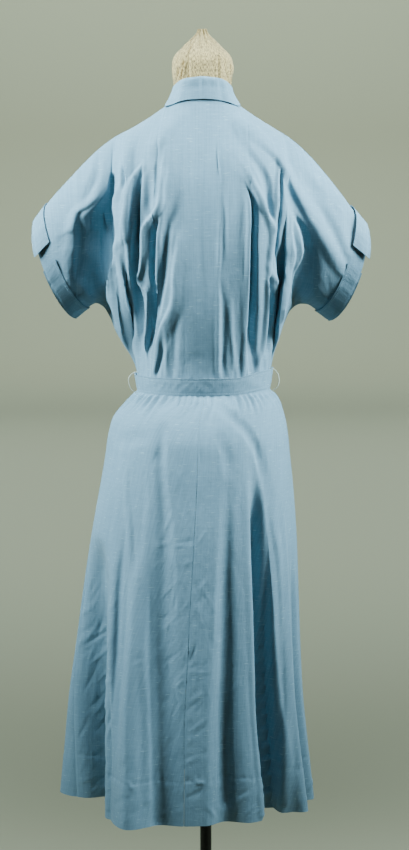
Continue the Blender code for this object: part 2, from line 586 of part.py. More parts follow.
def add_fastenings(collection):
    """Seven buttons down the front, and the covered buckle on the belt"""
    for number, height in enumerate(BODICE_BUTTON_HEIGHTS, 1):
        add_button(collection, f"button_{number}", front_bodice_point(0.0, height),
                   front_bodice_normal(0.0, height) * (0, 1, 1))
    for number, height in enumerate(PLACKET_BUTTON_HEIGHTS, len(BODICE_BUTTON_HEIGHTS) + 1):
        add_button(collection, f"button_{number}", front_skirt_point(0.0, height),
                   front_skirt_normal(0.0, height) * (0, 1, 1))
    bpy.ops.mesh.primitive_cube_add(size=1.0)
    buckle = take_active(collection, "belt_buckle")
    for vert in buckle.data.vertices:
        vert.co = [share * size for share, size in zip(vert.co, BUCKLE_SIZE)]
    belt_face = WAIST_HALF_DEPTH + BELT_STAND_OFF + WALL
    buckle.location = (0, belt_face + SEAM_GAP + BUCKLE_SIZE[1] / 2, WAIST_Z)
    buckle.data.materials.append(principled("belt_buckle covered cotton", (0.33, 0.52, 0.66), 0.8))
    rounding = buckle.modifiers.new("rounded edges", "BEVEL")
    rounding.width = 0.0012
    rounding.segments = 1


def add_form(collection):
    """Torso and wrapped neck of the dress form: a sphere's rings moved to the rings of the table"""
    shape = bmesh.new()
    last = len(FORM_RINGS) + 1
    bmesh.ops.create_uvsphere(shape, u_segments=FORM_SEGMENTS, v_segments=last, radius=1.0)
    for vert in shape.verts:
        ring = round(math.acos(max(-1.0, min(1.0, vert.co.z))) / math.pi * last)
        row = FORM_RINGS[min(max(ring - 1, 0), len(FORM_RINGS) - 1)]
        spread = 0.0 if ring in (0, last) else 1.0
        turn = math.atan2(vert.co.y, vert.co.x)
        depth = row.front if math.sin(turn) > 0 else row.back
        power = 2 / row.squareness
        across = math.copysign(abs(math.cos(turn)) ** power, math.cos(turn))
        deep = math.copysign(abs(math.sin(turn)) ** power, math.sin(turn))
        vert.co = (spread * row.half_width * across, spread * depth * deep, row.height)
    bmesh.ops.recalc_face_normals(shape, faces=shape.faces[:])
    mesh = bpy.data.meshes.new("form_body")
    shape.to_mesh(mesh)
    shape.free()
    add_object(collection, "form_body", mesh, principled("form_body stockinette", (0.62, 0.53, 0.40), 0.95))


def add_stand(collection):
    """Pole of the form and its round base with a socket"""
    black = (0.012, 0.012, 0.013)
    bpy.ops.mesh.primitive_cylinder_add(
        vertices=32, radius=POLE_RADIUS, depth=FORM_BOTTOM_Z - SOCKET_TOP_Z - 2 * SEAM_GAP,
        location=(0, 0, (FORM_BOTTOM_Z + SOCKET_TOP_Z) / 2))
    pole = take_active(collection, "form_pole")
    pole.data.materials.append(principled("form_pole painted steel", black, 0.4))
    pole.data.shade_smooth()
    pole.data.set_sharp_from_angle(angle=math.radians(40))

    profile = ((0, SOCKET_TOP_Z), (0.019, SOCKET_TOP_Z), (0.022, SOCKET_TOP_Z - 0.003), (0.023, 0.018),
               (0.032, 0.012), (BASE_RADIUS - 0.004, 0.009), (BASE_RADIUS, 0.006), (BASE_RADIUS, 0.0),
               (0, 0))
    mesh = bpy.data.meshes.new("form_base")
    mesh.from_pydata([(x, 0, z) for x, z in profile], [(i, i + 1) for i in range(len(profile) - 1)], [])
    base = bpy.data.objects.new("form_base", mesh)
    collection.objects.link(base)
    mesh.materials.append(principled("form_base painted iron", black, 0.5))
    turned = base.modifiers.new("turned", "SCREW")
    turned.angle = 2 * math.pi
    turned.steps = turned.render_steps = 32
    turned.use_merge_vertices = True
    turned.merge_threshold = 0.0001
    turned.use_smooth_shade = True


def build():
    """Clear the scene and build the dress on its form"""
    for existing in list(bpy.data.objects):
        bpy.data.objects.remove(existing, do_unlink=True)
    collection = bpy.data.collections.new("Dress on a dress form")
    bpy.context.scene.collection.children.link(collection)
    add_bodice(collection)
    add_skirt(collection)
    add_trim(collection)
    add_fastenings(collection)
    add_form(collection)
    add_stand(collection)


build()
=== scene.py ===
"""Pale blue shirtwaist dress on a limbless, stockinette-covered dress form, seen from its back.

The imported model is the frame: every piece here stands for one of its nodes and keeps to that
node's place. All lengths are metres unless a name or a comment says millimetres. The back of the
dress faces -Y, its left side is at -X, and the floor is z = 0. Cloth pieces are grids of points,
worked out as whole arrays, with a thin wall behind them.
"""

import logging
import math
from dataclasses import dataclass
from enum import Enum
from typing import Callable, NamedTuple

import bpy
import numpy as np
from mathutils import Matrix, Vector


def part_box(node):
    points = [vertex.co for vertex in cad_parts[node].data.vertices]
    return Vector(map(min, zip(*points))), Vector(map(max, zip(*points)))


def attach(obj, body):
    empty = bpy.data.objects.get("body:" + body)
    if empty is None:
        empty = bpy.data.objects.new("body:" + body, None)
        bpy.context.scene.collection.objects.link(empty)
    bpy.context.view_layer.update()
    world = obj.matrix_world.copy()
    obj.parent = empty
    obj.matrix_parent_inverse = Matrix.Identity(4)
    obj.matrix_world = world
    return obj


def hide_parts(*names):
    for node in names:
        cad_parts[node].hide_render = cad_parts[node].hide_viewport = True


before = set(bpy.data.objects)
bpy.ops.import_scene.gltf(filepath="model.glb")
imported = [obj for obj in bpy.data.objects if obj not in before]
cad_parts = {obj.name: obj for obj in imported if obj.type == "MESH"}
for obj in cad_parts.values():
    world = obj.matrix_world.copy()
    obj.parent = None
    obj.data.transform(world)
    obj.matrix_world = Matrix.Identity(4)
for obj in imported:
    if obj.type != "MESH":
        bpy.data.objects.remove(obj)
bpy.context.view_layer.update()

logging.basicConfig(level=logging.INFO, format="%(message)s")
LOG = logging.getLogger("dress")

Array = np.ndarray
PlaceOn = Callable[[Array, Array], tuple[Array, Array]]
MM = 0.001
CLOTH = 0.0009  # Thickness of one layer of the cloth
SEAM_GAP = 0.0003  # Between two pieces that meet in a seam
FORM_GAP = 0.0022  # Least distance of the cloth's outer side from the dress form
FOLD_REACH = 1.85  # How far a fold reaches, in half widths at half depth


# Reading tables ------------------------------------------------------------------------------


def smooth_read(places: Array, values: Array, at: Array) -> Array:
    """Read a table at any place, on a smooth curve through its rows.

    Each stretch is a cubic whose end slopes are the central differences of the rows.

    Args:
        places: Rising places of the rows.
        values: The value of each row.
        at: Where to read.

    Returns:
        The values there, held at the ends outside the table.
    """
    places, values, at = np.asarray(places, float), np.asarray(values, float), np.asarray(at, float)
    slopes = np.gradient(values, places)
    index = np.clip(np.searchsorted(places, at, side="right") - 1, 0, len(places) - 2)
    span = places[index + 1] - places[index]
    t = (np.clip(at, places[0], places[-1]) - places[index]) / span
    return (
        (2 * t**3 - 3 * t**2 + 1) * values[index]
        + (t**3 - 2 * t**2 + t) * span * slopes[index]
        + (3 * t**2 - 2 * t**3) * values[index + 1]
        + (t**3 - t**2) * span * slopes[index + 1]
    )


def column(rows: tuple, name: str) -> Array:
    """One named column of a table."""
    return np.array([getattr(row, name) for row in rows], float)


def read_table(rows: tuple, at: Array) -> list[Array]:
    """Read a table whose first column holds the rising places: all its other columns."""
    places, *columns = np.array(rows, float).T
    return [smooth_read(places, values, at) for values in columns]


def read_numbered(rows: tuple | Array, at: Array) -> list[Array]:
    """Read a table by the number of the row, with fractions between two: all its columns."""
    return [smooth_read(np.arange(len(rows)), values, at) for values in np.array(rows, float).T]


def ease(value: Array) -> Array:
    """Smooth step from 0 to 1: 3t^2 - 2t^3 of the value held between 0 and 1."""
    value = np.clip(value, 0.0, 1.0)
    return value * value * (3 - 2 * value)


def unit(vectors: Array) -> Array:
    """The vectors, each scaled to length 1."""
    return vectors / np.maximum(np.linalg.norm(vectors, axis=-1, keepdims=True), 1e-12)


def grid_normals(points: Array) -> Array:
    """Unit normals of a grid of points: the cross product of its differences across and down."""
    return unit(np.cross(np.gradient(points, axis=0), np.gradient(points, axis=1)))


def facing(normals: Array, towards: Array) -> Array:
    """The normals, all turned over together where on the whole they face away from a direction."""
    return normals if np.sum(normals * towards) >= 0 else -normals


def running_length(points: Array) -> Array:
    """Length of a line of points from the first of them to each one."""
    return np.concatenate(([0.0], np.cumsum(np.linalg.norm(np.diff(points, axis=0), axis=-1))))


def read_line(at: Array, lengths: Array, points: Array) -> Array:
    """Points, or directions, read off a line of them at lengths along it."""
    return np.stack([np.interp(at, lengths, values) for values in points.T], axis=-1)


def flat_grid(across: Array, down: Array) -> Array:
    """Flat place of each point of a grid, from the places of its columns and of its rows."""
    return np.stack(np.broadcast_arrays(across[:, None], down[None, :]), axis=-1)


# Folds and creases ---------------------------------------------------------------------------


@dataclass(frozen=True)
class Fold:
    """A soft trough or ridge along a path, as it is seen from straight behind the dress.

    spots are rows of (x, z, left, right, depth) in millimetres, from the top down: the path, the
    half width at half depth on either side, and the depth, which is less than 0 for a trough.
    """

    name: str
    spots: tuple[tuple[float, float, float, float, float], ...]

    def height(self, x: Array, z: Array) -> Array:
        """How far the fold lifts the cloth.

        The path is a smooth curve through the spots. With d the distance from it and r the reach
        there on that side, the lift is depth * (1 - (d / r)^2)^2, and 0 past r.

        Args:
            x: Sideways places of the cloth.
            z: Their heights.

        Returns:
            The lift off the plain surface at each place.
        """
        rows = np.array(self.spots) * MM
        at = np.linspace(0, len(rows) - 1, 8 * (len(rows) - 1) + 1)
        path_x, path_z, left, right, depth = read_numbered(rows, at)
        left, right = (np.maximum(FOLD_REACH * width, 0.5 * MM) for width in (left, right))
        far = max(left.max(), right.max())
        near = ((x > path_x.min() - far) & (x < path_x.max() + far)
                & (z > path_z.min() - far) & (z < path_z.max() + far))
        lift = np.zeros(x.shape)
        if not near.any():
            return lift
        from_x, from_z = x[near][:, None] - path_x[:-1], z[near][:, None] - path_z[:-1]
        step_x, step_z = np.diff(path_x), np.diff(path_z)
        share = np.clip((from_x * step_x + from_z * step_z) / (step_x**2 + step_z**2), 0, 1)
        apart = np.hypot(from_x - share * step_x, from_z - share * step_z)
        nearest = np.argmin(apart, axis=1)
        rank = np.arange(len(nearest))
        where = nearest + share[rank, nearest]
        steps = np.arange(len(at))
        on_right = step_x[nearest] * from_z[rank, nearest] > step_z[nearest] * from_x[rank, nearest]
        reach = np.where(on_right, np.interp(where, steps, right), np.interp(where, steps, left))
        ratio = np.clip(apart[rank, nearest] / reach, 0, 1)
        lift[near] = np.interp(where, steps, depth) * (1 - ratio**2) ** 2
        return lift


def fold_height(folds: tuple[Fold, ...], x: Array, z: Array) -> Array:
    """Sum of the lifts of several folds."""
    return sum((fold.height(x, z) for fold in folds), np.zeros(x.shape))


class Patch(NamedTuple):
    """Small creases of one kind in a part of the cloth; lengths in mm, angle in degrees."""

    low_x: float
    high_x: float
    low_z: float
    high_z: float
    count: int
    angle: float
    spread: float
    length: float
    width: float
    depth: float


def crumpled(patches: tuple[Patch, ...], seed: int, x: Array, z: Array) -> Array:
    """Lift of many small creases, laid at random places with a fixed seed.

    Each crease is depth * exp(-(along/length)^2 - (across/width)^2), half of them troughs.

    Args:
        patches: Where the creases lie, and their kind.
        seed: Start of the random draws.
        x: Sideways places of the cloth.
        z: Their heights.

    Returns:
        The lift off the plain surface at each place.
    """
    lift = np.zeros(x.shape)
    draws = np.random.default_rng(seed)
    for patch in patches:
        for _ in range(patch.count):
            middle_x = draws.uniform(patch.low_x, patch.high_x) * MM
            middle_z = draws.uniform(patch.low_z, patch.high_z) * MM
            turn = math.radians(patch.angle + patch.spread * draws.uniform(-1, 1))
            length = patch.length * MM * draws.uniform(0.5, 1.4)
            width = patch.width * MM * draws.uniform(0.7, 1.4)
            depth = patch.depth * MM * draws.uniform(0.4, 1.0) * draws.choice((-1.0, 1.0))
            far_x, far_z = x - middle_x, z - middle_z
            near = far_x**2 + far_z**2 < (2.2 * length) ** 2
            along = far_x[near] * math.cos(turn) + far_z[near] * math.sin(turn)
            across = far_z[near] * math.cos(turn) - far_x[near] * math.sin(turn)
            lift[near] += depth * np.exp(-((along / length) ** 2) - (across / width) ** 2)
    return lift


# Finishes ------------------------------------------------------------------------------------


def linear(hex_colour: str) -> tuple[float, float, float, float]:
    """Linear colour of an sRGB hex value such as "a1b2c3"."""
    parts = [int(hex_colour[k:k + 2], 16) / 255 for k in (0, 2, 4)]
    shades = [p / 12.92 if p <= 0.04045 else ((p + 0.055) / 1.055) ** 2.4 for p in parts]
    return (*shades, 1.0)


def set_inputs(node: bpy.types.Node, links: dict | None = None, **values: object) -> None:
    """Set inputs of a node, with _ for a space in their names, and feed others from sockets."""
    for name, value in values.items():
        node.inputs[name.replace("_", " ")].default_value = value
    for name, source in (links or {}).items():
        node.id_data.links.new(source, node.inputs[name])


def add_node(material: bpy.types.Material, kind: str, links: dict | None = None,
             settings: dict | None = None, **values: object) -> bpy.types.Node:
    """Add a node to a material, with its settings and links.

    Args:
        material: The material.
        kind: Node type, without its ShaderNode prefix.
        links: Input name or number to the output socket that feeds it.
        settings: Properties of the node.
        **values: Input name, with _ for a space, to its value.

    Returns:
        The node.
    """
    node = material.node_tree.nodes.new(f"ShaderNode{kind}")
    for name, value in (settings or {}).items():
        setattr(node, name, value)
    set_inputs(node, links, **values)
    return node


def new_material(name: str) -> tuple[bpy.types.Material, bpy.types.Node]:
    """An empty node material, and its Principled shader."""
    material = bpy.data.materials.new(name)
    material.use_nodes = True
    return material, material.node_tree.nodes["Principled BSDF"]


def colour_ramp(material: bpy.types.Material, factor: bpy.types.NodeSocket,
                low: tuple[float, str], high: tuple[float, str]) -> bpy.types.NodeSocket:
    """Colour that goes from one stop to another with a factor; a stop is (place, sRGB hex)."""
    node = add_node(material, "ValToRGB", {"Fac": factor})
    for element, (place, colour) in zip(node.color_ramp.elements, (low, high)):
        element.position = place
        element.color = linear(colour)
    return node.outputs["Color"]


def stretched_noise(material: bpy.types.Material, place: bpy.types.NodeSocket,
                    waves: tuple[float, float, float], detail: float,
                    roughness: float = 0.6) -> bpy.types.NodeSocket:
    """Noise with its own number of waves per metre along each axis of a place."""
    mapped = add_node(material, "Mapping", {"Vector": place}, Scale=waves)
    return add_node(material, "TexNoise", {"Vector": mapped.outputs["Vector"]},
                    Scale=1.0, Detail=detail, Roughness=roughness).outputs["Fac"]


def bump(material: bpy.types.Material, height: bpy.types.NodeSocket, strength: float,
         distance: float, over: bpy.types.NodeSocket | None = None) -> bpy.types.NodeSocket:
    """Normal of a relief; over is the normal of the one that it lies on."""
    links = {"Height": height} if over is None else {"Height": height, "Normal": over}
    node = add_node(material, "Bump", links, Strength=strength, Distance=distance)
    return node.outputs["Normal"]


@dataclass(frozen=True)
class SlubbedCotton:
    """Plain-weave cotton with slubs, yarn-dyed pale blue.

    Matt, with a faint sheen at grazing angles. Thicker yarns show as short level lines and long
    faint upright ones, and the blue is a little uneven from yarn to yarn.
    """

    name: str
    warp: str = "7793a0"
    weft: str = "698592"
    slub: str = "96b0b8"
    crease: float = 0.5

    def material(self) -> bpy.types.Material:
        """Build the material; its patterns follow the cloth's own UV map, which is in metres."""
        made, shader = new_material(self.name)
        place = add_node(made, "UVMap", settings={"uv_map": "cloth"}).outputs["UV"]

        # Warp yarns: upright streaks about 2 mm apart. Slubs: level dashes about 12 mm long
        warp = stretched_noise(made, place, (420.0, 9.0, 1.0), 2.0)
        weft = stretched_noise(made, place, (30.0, 420.0, 1.0), 2.0)
        slubs = stretched_noise(made, place, (70.0, 620.0, 1.0), 1.0)
        blotches = stretched_noise(made, place, (14.0, 9.0, 1.0), 3.0)
        woven = add_node(made, "MixRGB", {
            "Color1": colour_ramp(made, warp, (0.36, self.weft), (0.62, self.warp)),
            "Color2": colour_ramp(made, weft, (0.35, self.weft), (0.66, self.warp))}, Fac=0.45)
        slub_mask = add_node(made, "MapRange", {"Value": slubs}, {"clamp": True}, From_Min=0.66,
                             From_Max=0.74, To_Min=0.0, To_Max=0.75).outputs["Result"]
        slubbed = add_node(made, "MixRGB", {"Color1": woven.outputs["Color"], "Fac": slub_mask},
                           Color2=linear(self.slub))
        shade = add_node(made, "MapRange", {"Value": blotches}, From_Min=0.3, From_Max=0.7,
                         To_Min=0.94, To_Max=1.05)
        tinted = add_node(made, "MixRGB", {"Color1": slubbed.outputs["Color"],
                                           "Color2": shade.outputs["Result"]},
                          {"blend_type": "MULTIPLY"}, Fac=1.0)

        # Weave drawn at 0.9 mm a yarn, three times too coarse, so that it shows in a near view
        threads, rows = (add_node(made, "TexWave", {"Vector": place}, {"bands_direction": axis},
                                  Scale=350.0, Distortion=0.6).outputs["Fac"] for axis in "XY")
        weave = add_node(made, "Math", {0: threads, 1: rows}, {"operation": "MULTIPLY"})
        fine = bump(made, weave.outputs["Value"], 0.12, 0.0004)
        lines = bump(made, slub_mask, 0.35, 0.0005, fine)
        crinkle = stretched_noise(made, place, (95.0, 45.0, 1.0), 5.0)
        soft = bump(made, crinkle, self.crease, 0.0022, lines)
        set_inputs(shader, {"Base Color": tinted.outputs["Color"], "Normal": soft}, Roughness=0.82,
                   Sheen_Weight=0.12, Sheen_Roughness=0.45, Specular_IOR_Level=0.25)
        return made


@dataclass(frozen=True)
class Stockinette:
    """Unbleached cotton jersey pulled over padding: fine knit ribs, mottled beige."""

    name: str = "unbleached cotton stockinette"
    light: str = "cfac70"
    dark: str = "5e4526"

    def material(self) -> bpy.types.Material:
        """Build the material; its ribs follow the form's own UV map, which is in metres."""
        made, shader = new_material(self.name)
        place = add_node(made, "UVMap", settings={"uv_map": "cloth"}).outputs["UV"]
        flecks = stretched_noise(made, place, (330.0, 230.0, 1.0), 2.0, roughness=0.7)
        colour = colour_ramp(made, flecks, (0.36, self.dark), (0.58, self.light))
        # Knit ribs are drawn 2 mm apart, twice as coarse as real, so that they show
        ribs = add_node(made, "TexWave", {"Vector": place}, {"bands_direction": "X"},
                        Scale=150.0, Distortion=2.0, Detail=1.0)
        rough = bump(made, flecks, 0.7, 0.0012, bump(made, ribs.outputs["Fac"], 0.5, 0.0008))
        set_inputs(shader, {"Base Color": colour, "Normal": rough}, Roughness=0.95,
                   Sheen_Weight=0.1)
        return made


@dataclass(frozen=True)
class SewingThread:
    """Two-ply cotton thread, a touch lighter than the cloth, with a soft twist."""

    name: str = "pale blue cotton thread"
    colour: str = "9fc0cf"
    groove_shade: str = "86abbd"

    def material(self) -> bpy.types.Material:
        """Build the material; the twist is a fine band across the object, with its grooves in a
        darker colour that is painted shade.
        """
        made, shader = new_material(self.name)
        place = add_node(made, "TexCoord").outputs["Object"]
        twist = add_node(made, "TexWave", {"Vector": place}, {"bands_direction": "DIAGONAL"},
                         Scale=900.0, Distortion=0.5)
        # The darker colour in the twist's grooves is painted shade between the plies; there is no
        # relief there.
        colour = colour_ramp(made, twist.outputs["Fac"], (0.0, self.groove_shade), (0.8, self.colour))
        set_inputs(shader, {"Base Color": colour}, Roughness=0.7)
        return made


@dataclass(frozen=True)
class MouldedButton:
    """Moulded casein-like plastic button, dyed to match, with a satin polish."""

    name: str = "moulded blue button plastic"
    light: str = "9dbfd2"
    dark: str = "7ea5bb"

    def material(self) -> bpy.types.Material:
        """Build the material; soft clouding as in cast plastic."""
        made, shader = new_material(self.name)
        place = add_node(made, "TexCoord").outputs["Object"]
        cloud = add_node(made, "TexNoise", {"Vector": place}, Scale=260.0, Detail=3.0)
        colour = colour_ramp(made, cloud.outputs["Fac"], (0.35, self.dark), (0.7, self.light))
        set_inputs(shader, {"Base Color": colour}, Roughness=0.28, IOR=1.5)
        return made


@dataclass(frozen=True)
class BlackEnamel:
    """Black stoving enamel on steel or cast iron: satin, slightly uneven, worn a little lighter."""

    name: str
    grain: float
    roughness: float

    def material(self) -> bpy.types.Material:
        """Build the material; grain is the size of its unevenness, as noise waves per metre."""
        made, shader = new_material(self.name)
        place = add_node(made, "TexCoord").outputs["Object"]
        uneven = add_node(made, "TexNoise", {"Vector": place}, Scale=self.grain,
                          Detail=4.0).outputs["Fac"]
        colour = colour_ramp(made, uneven, (0.35, "101112"), (0.75, "1e2021"))
        gloss = add_node(made, "MapRange", {"Value": uneven}, To_Min=self.roughness - 0.08,
                         To_Max=self.roughness + 0.12)
        set_inputs(shader, {"Base Color": colour, "Roughness": gloss.outputs["Result"],
                            "Normal": bump(made, uneven, 0.25, 0.0006)})
        return made


# Meshes --------------------------------------------------------------------------------------


def make_object(name: str, points: Array, faces: Array, material: bpy.types.Material,
                uv: Array | None = None, sharp: float = 50.0) -> bpy.types.Object:
    """Make a mesh object at the origin.

    Args:
        name: Its name.
        points: Its points, (n, 3).
        faces: Its faces as rows of four point numbers; a triangle has -1 for one of them.
        material: Its material.
        uv: Flat place of each point in metres, (n, 2).
        sharp: Edges that turn by more degrees than this are sharp.

    Returns:
        The object.
    """
    mesh = bpy.data.meshes.new(name)
    sizes = (faces >= 0).sum(axis=1)
    corners = faces[faces >= 0]
    mesh.vertices.add(len(points))
    mesh.vertices.foreach_set("co", np.asarray(points, np.float32).ravel())
    mesh.loops.add(len(corners))
    mesh.loops.foreach_set("vertex_index", corners.astype(np.int32))
    mesh.polygons.add(len(faces))
    starts = np.concatenate(([0], np.cumsum(sizes)[:-1]))
    mesh.polygons.foreach_set("loop_start", starts.astype(np.int32))
    mesh.update(calc_edges=True)
    if uv is not None:
        layer = mesh.uv_layers.new(name="cloth")
        layer.data.foreach_set("uv", np.asarray(uv[corners], np.float32).ravel())
    mesh.materials.append(material)
    mesh.validate()
    mesh.shade_smooth()
    mesh.set_sharp_from_angle(angle=math.radians(sharp))
    made = bpy.data.objects.new(name, mesh)
    bpy.context.scene.collection.objects.link(made)
    return made


def grid_faces(columns: int, rows: int, start: int = 0, turned: bool = False) -> Array:
    """Faces of a grid whose points are numbered down each column in turn."""
    place = start + np.arange(columns * rows).reshape(columns, rows)
    quads = np.stack((place[:-1, :-1], place[1:, :-1], place[1:, 1:], place[:-1, 1:]), axis=-1)
    quads = quads.reshape(-1, 4)
    return quads[:, ::-1] if turned else quads


def rim_faces(columns: int, rows: int, turned: bool = False) -> Array:
    """Faces that join the edge of a grid to the edge of a second one numbered after it."""
    place = np.arange(columns * rows).reshape(columns, rows)
    edge = np.concatenate((place[:, 0], place[-1, 1:], place[-2::-1, -1], place[0, -2::-1]))
    behind = edge + columns * rows
    quads = np.stack((edge[:-1], behind[:-1], behind[1:], edge[1:]), axis=-1)
    return quads[:, ::-1] if turned else quads


def wall(name: str, outside: Array, inside: Array, material: bpy.types.Material,
         uv: Array) -> bpy.types.Object:
    """A closed wall of cloth between an outer and an inner grid of points.

    Args:
        name: Its name.
        outside: Outer points, (columns, rows, 3).
        inside: Inner points, of the same shape.
        material: Its material.
        uv: Flat place of each point in metres, (columns, rows, 2).

    Returns:
        The object, its faces pointing out.
    """
    columns, rows = outside.shape[:2]
    turned = bool(np.sum(grid_normals(outside) * (outside - inside)) < 0)
    faces = np.concatenate((
        grid_faces(columns, rows, 0, turned),
        grid_faces(columns, rows, columns * rows, not turned),
        rim_faces(columns, rows, turned),
    ))
    points = np.concatenate((outside.reshape(-1, 3), inside.reshape(-1, 3)))
    flat = np.concatenate((uv.reshape(-1, 2), uv.reshape(-1, 2)))
    return make_object(name, points, faces, material, flat)


def round_circle(count: int) -> Array:
    """Angles evenly round a circle."""
    return np.linspace(0, 2 * math.pi, count, endpoint=False)


def closed_rings(rings: Array, first: Array | tuple, last: Array | tuple) -> tuple[Array, Array]:
    """Points and faces of rings of points, closed by a fan to a point at each end."""
    count, sides = rings.shape[:2]
    place = np.arange(count * sides).reshape(count, sides)
    after = np.roll(place, -1, axis=1)
    quads = np.stack((place[:-1], place[1:], after[1:], after[:-1]), axis=-1).reshape(-1, 4)
    fans = [np.stack((*edge, np.full(sides, count * sides + end), np.full(sides, -1)), axis=-1)
            for end, edge in enumerate(((place[0], after[0]), (after[-1], place[-1])))]
    return np.concatenate((rings.reshape(-1, 3), [first, last])), np.concatenate((quads, *fans))


def tube(name: str, path: Array, radius: float, material: bpy.types.Material,
         sides: int = 8) -> bpy.types.Object:
    """A round thread along a path, with closed ends.

    Each ring stands square to the path: a circle about the point, in the plane of the two
    directions that are carried along without twist.

    Args:
        name: Its name.
        path: Points along its middle, (n, 3).
        radius: Half its thickness.
        material: Its material.
        sides: Points round a ring.

    Returns:
        The object.
    """
    ahead = unit(np.gradient(path, axis=0))
    first = unit(np.cross(ahead, np.array((0.31, 0.17, 0.94))))
    second = np.cross(ahead, first)
    turn = round_circle(sides)
    rings = (path[:, None] + radius * (first[:, None] * np.cos(turn)[None, :, None]
                                       + second[:, None] * np.sin(turn)[None, :, None]))
    points, faces = closed_rings(rings, path[0], path[-1])
    return make_object(name, points, faces[:, (0, 3, 2, 1)], material)


def stitches(name: str, lines: list[tuple[Array, Array]], material: bpy.types.Material,
             pitch: float = 0.0027, length: float = 0.0019,
             radius: float = 0.00028) -> bpy.types.Object:
    """Rows of machine stitches: each one a long bead lying on the cloth.

    A bead is a ring of four points round its middle with a point at each end. Its middle lies on
    the line, its length along it, and it is half sunk in the cloth.

    Args:
        name: Its name.
        lines: For each row, the points along it and the cloth's normals there.
        material: The thread.
        pitch: From one stitch to the next.
        length: Length of a stitch.
        radius: Half its thickness.

    Returns:
        One object with all the stitches.
    """
    points, faces, start = [], [], 0
    pattern = np.array(((-1, 0, 0), (1, 0, 0), (0, 1, 0), (0, 0, 1), (0, -1, 0), (0, 0, -1)), float)
    corners = np.array(((0, 3, 2, -1), (0, 4, 3, -1), (0, 5, 4, -1), (0, 2, 5, -1),
                        (1, 2, 3, -1), (1, 3, 4, -1), (1, 4, 5, -1), (1, 5, 2, -1)))
    for path, normals in lines:
        travelled = running_length(path)
        middles = np.arange(pitch / 2, travelled[-1], pitch)
        at = read_line(middles, travelled, path)
        up = unit(read_line(middles, travelled, normals))
        ahead = unit(read_line(middles, travelled, np.gradient(path, axis=0)))
        beside = unit(np.cross(up, ahead))
        frames = np.stack((ahead * length / 2, beside * radius, up * radius), axis=1)
        beads = at[:, None] + np.einsum("pk,nkc->npc", pattern, frames)
        points.append(beads.reshape(-1, 3))
        ranks = start + 6 * np.arange(len(middles))[:, None, None]
        faces.append(np.where(corners >= 0, corners + ranks, -1).reshape(-1, 4))
        start += 6 * len(middles)
    return make_object(name, np.concatenate(points), np.concatenate(faces), material, sharp=180.0)


def dress_piece(piece: bpy.types.Object, slot: str, *nodes: str) -> bpy.types.Object:
    """Ride a piece on the body and let it stand for its nodes, which are hidden."""
    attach(piece, "root")
    if nodes:
        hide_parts(*nodes)
    triangles = len(piece.data.loops) - 2 * len(piece.data.polygons)
    LOG.info("%s: %d triangles", piece.name, triangles)
    return piece


def cloth_wall(node: str, outside: Array, inside: Array, cotton: bpy.types.Material,
               flat: Array) -> bpy.types.Object:
    """A wall of the dress's cloth, named after the node that it stands for."""
    return dress_piece(wall(f"{node}_cloth", outside, inside, cotton, flat), "blue_cotton", node)


def topstitching(node: str, lines: list[tuple[Array, Array]],
                 thread: bpy.types.Material) -> bpy.types.Object:
    """The rows of machine stitches on the cloth of a node."""
    return dress_piece(stitches(f"{node}_topstitching", lines, thread), "blue_cotton")


# The bodice ----------------------------------------------------------------------------------


class FormRing(NamedTuple):
    """A ring of the form; back and front are its depths, and squareness 2 is an ellipse."""

    height: float
    half_width: float
    back: float
    front: float
    squareness: float


FORM_RINGS = (
    FormRing(1.5915, 0.0066, 0.0066, 0.0066, 2.0), FormRing(1.5870, 0.0078, 0.0078, 0.0078, 2.0),
    FormRing(1.5700, 0.0240, 0.0240, 0.0240, 2.0), FormRing(1.5500, 0.0432, 0.0432, 0.0432, 2.0),
    FormRing(1.5300, 0.0462, 0.0470, 0.0470, 2.0), FormRing(1.5050, 0.0437, 0.0470, 0.0470, 2.0),
    FormRing(1.4800, 0.0450, 0.0480, 0.0470, 2.0), FormRing(1.4670, 0.0640, 0.0510, 0.0475, 1.6),
    FormRing(1.4500, 0.0890, 0.0580, 0.0480, 1.5), FormRing(1.4300, 0.1190, 0.0680, 0.0520, 1.7),
    FormRing(1.4100, 0.1360, 0.0760, 0.0620, 1.9), FormRing(1.3800, 0.1400, 0.0860, 0.0760, 2.1),
    FormRing(1.3300, 0.1310, 0.0930, 0.0940, 2.2), FormRing(1.2700, 0.1240, 0.0930, 0.1050, 2.2),
    FormRing(1.2000, 0.1160, 0.0880, 0.1000, 2.1), FormRing(1.1200, 0.1030, 0.0800, 0.0860, 2.0),
    FormRing(1.0560, 0.0984, 0.0800, 0.0800, 2.0), FormRing(1.0350, 0.0986, 0.0802, 0.0802, 2.0),
    FormRing(0.9900, 0.1120, 0.0900, 0.0860, 2.1), FormRing(0.9300, 0.1240, 0.1000, 0.0920, 2.2),
    FormRing(0.8700, 0.1260, 0.1000, 0.0940, 2.2), FormRing(0.8200, 0.1210, 0.0950, 0.0910, 2.2),
    FormRing(0.8000, 0.1140, 0.0890, 0.0850, 2.2),
)


class Side(Enum):
    """Side of the dress, as its sign along X."""

    LEFT = -1
    RIGHT = 1


class Outline(NamedTuple):
    """A place on an outline: its distance out from the middle, and its height."""

    out: float
    height: float


class Rib(NamedTuple):
    """A line down the bodice from its top line to its low line.

    top runs 0 to 1 along the neckline and 1 to 2 along the over-arm line; low runs 0 to 1 along
    the waist and 1 to 2 up the side seam and along the underarm. bulge is how far the middle
    stands off the ends, bow how far it bends outward; fold is its crest or trough and start
    where that begins.
    """

    top: float
    low: float
    bulge: float
    bow: float
    fold: float = 0.0
    start: float = 0.2


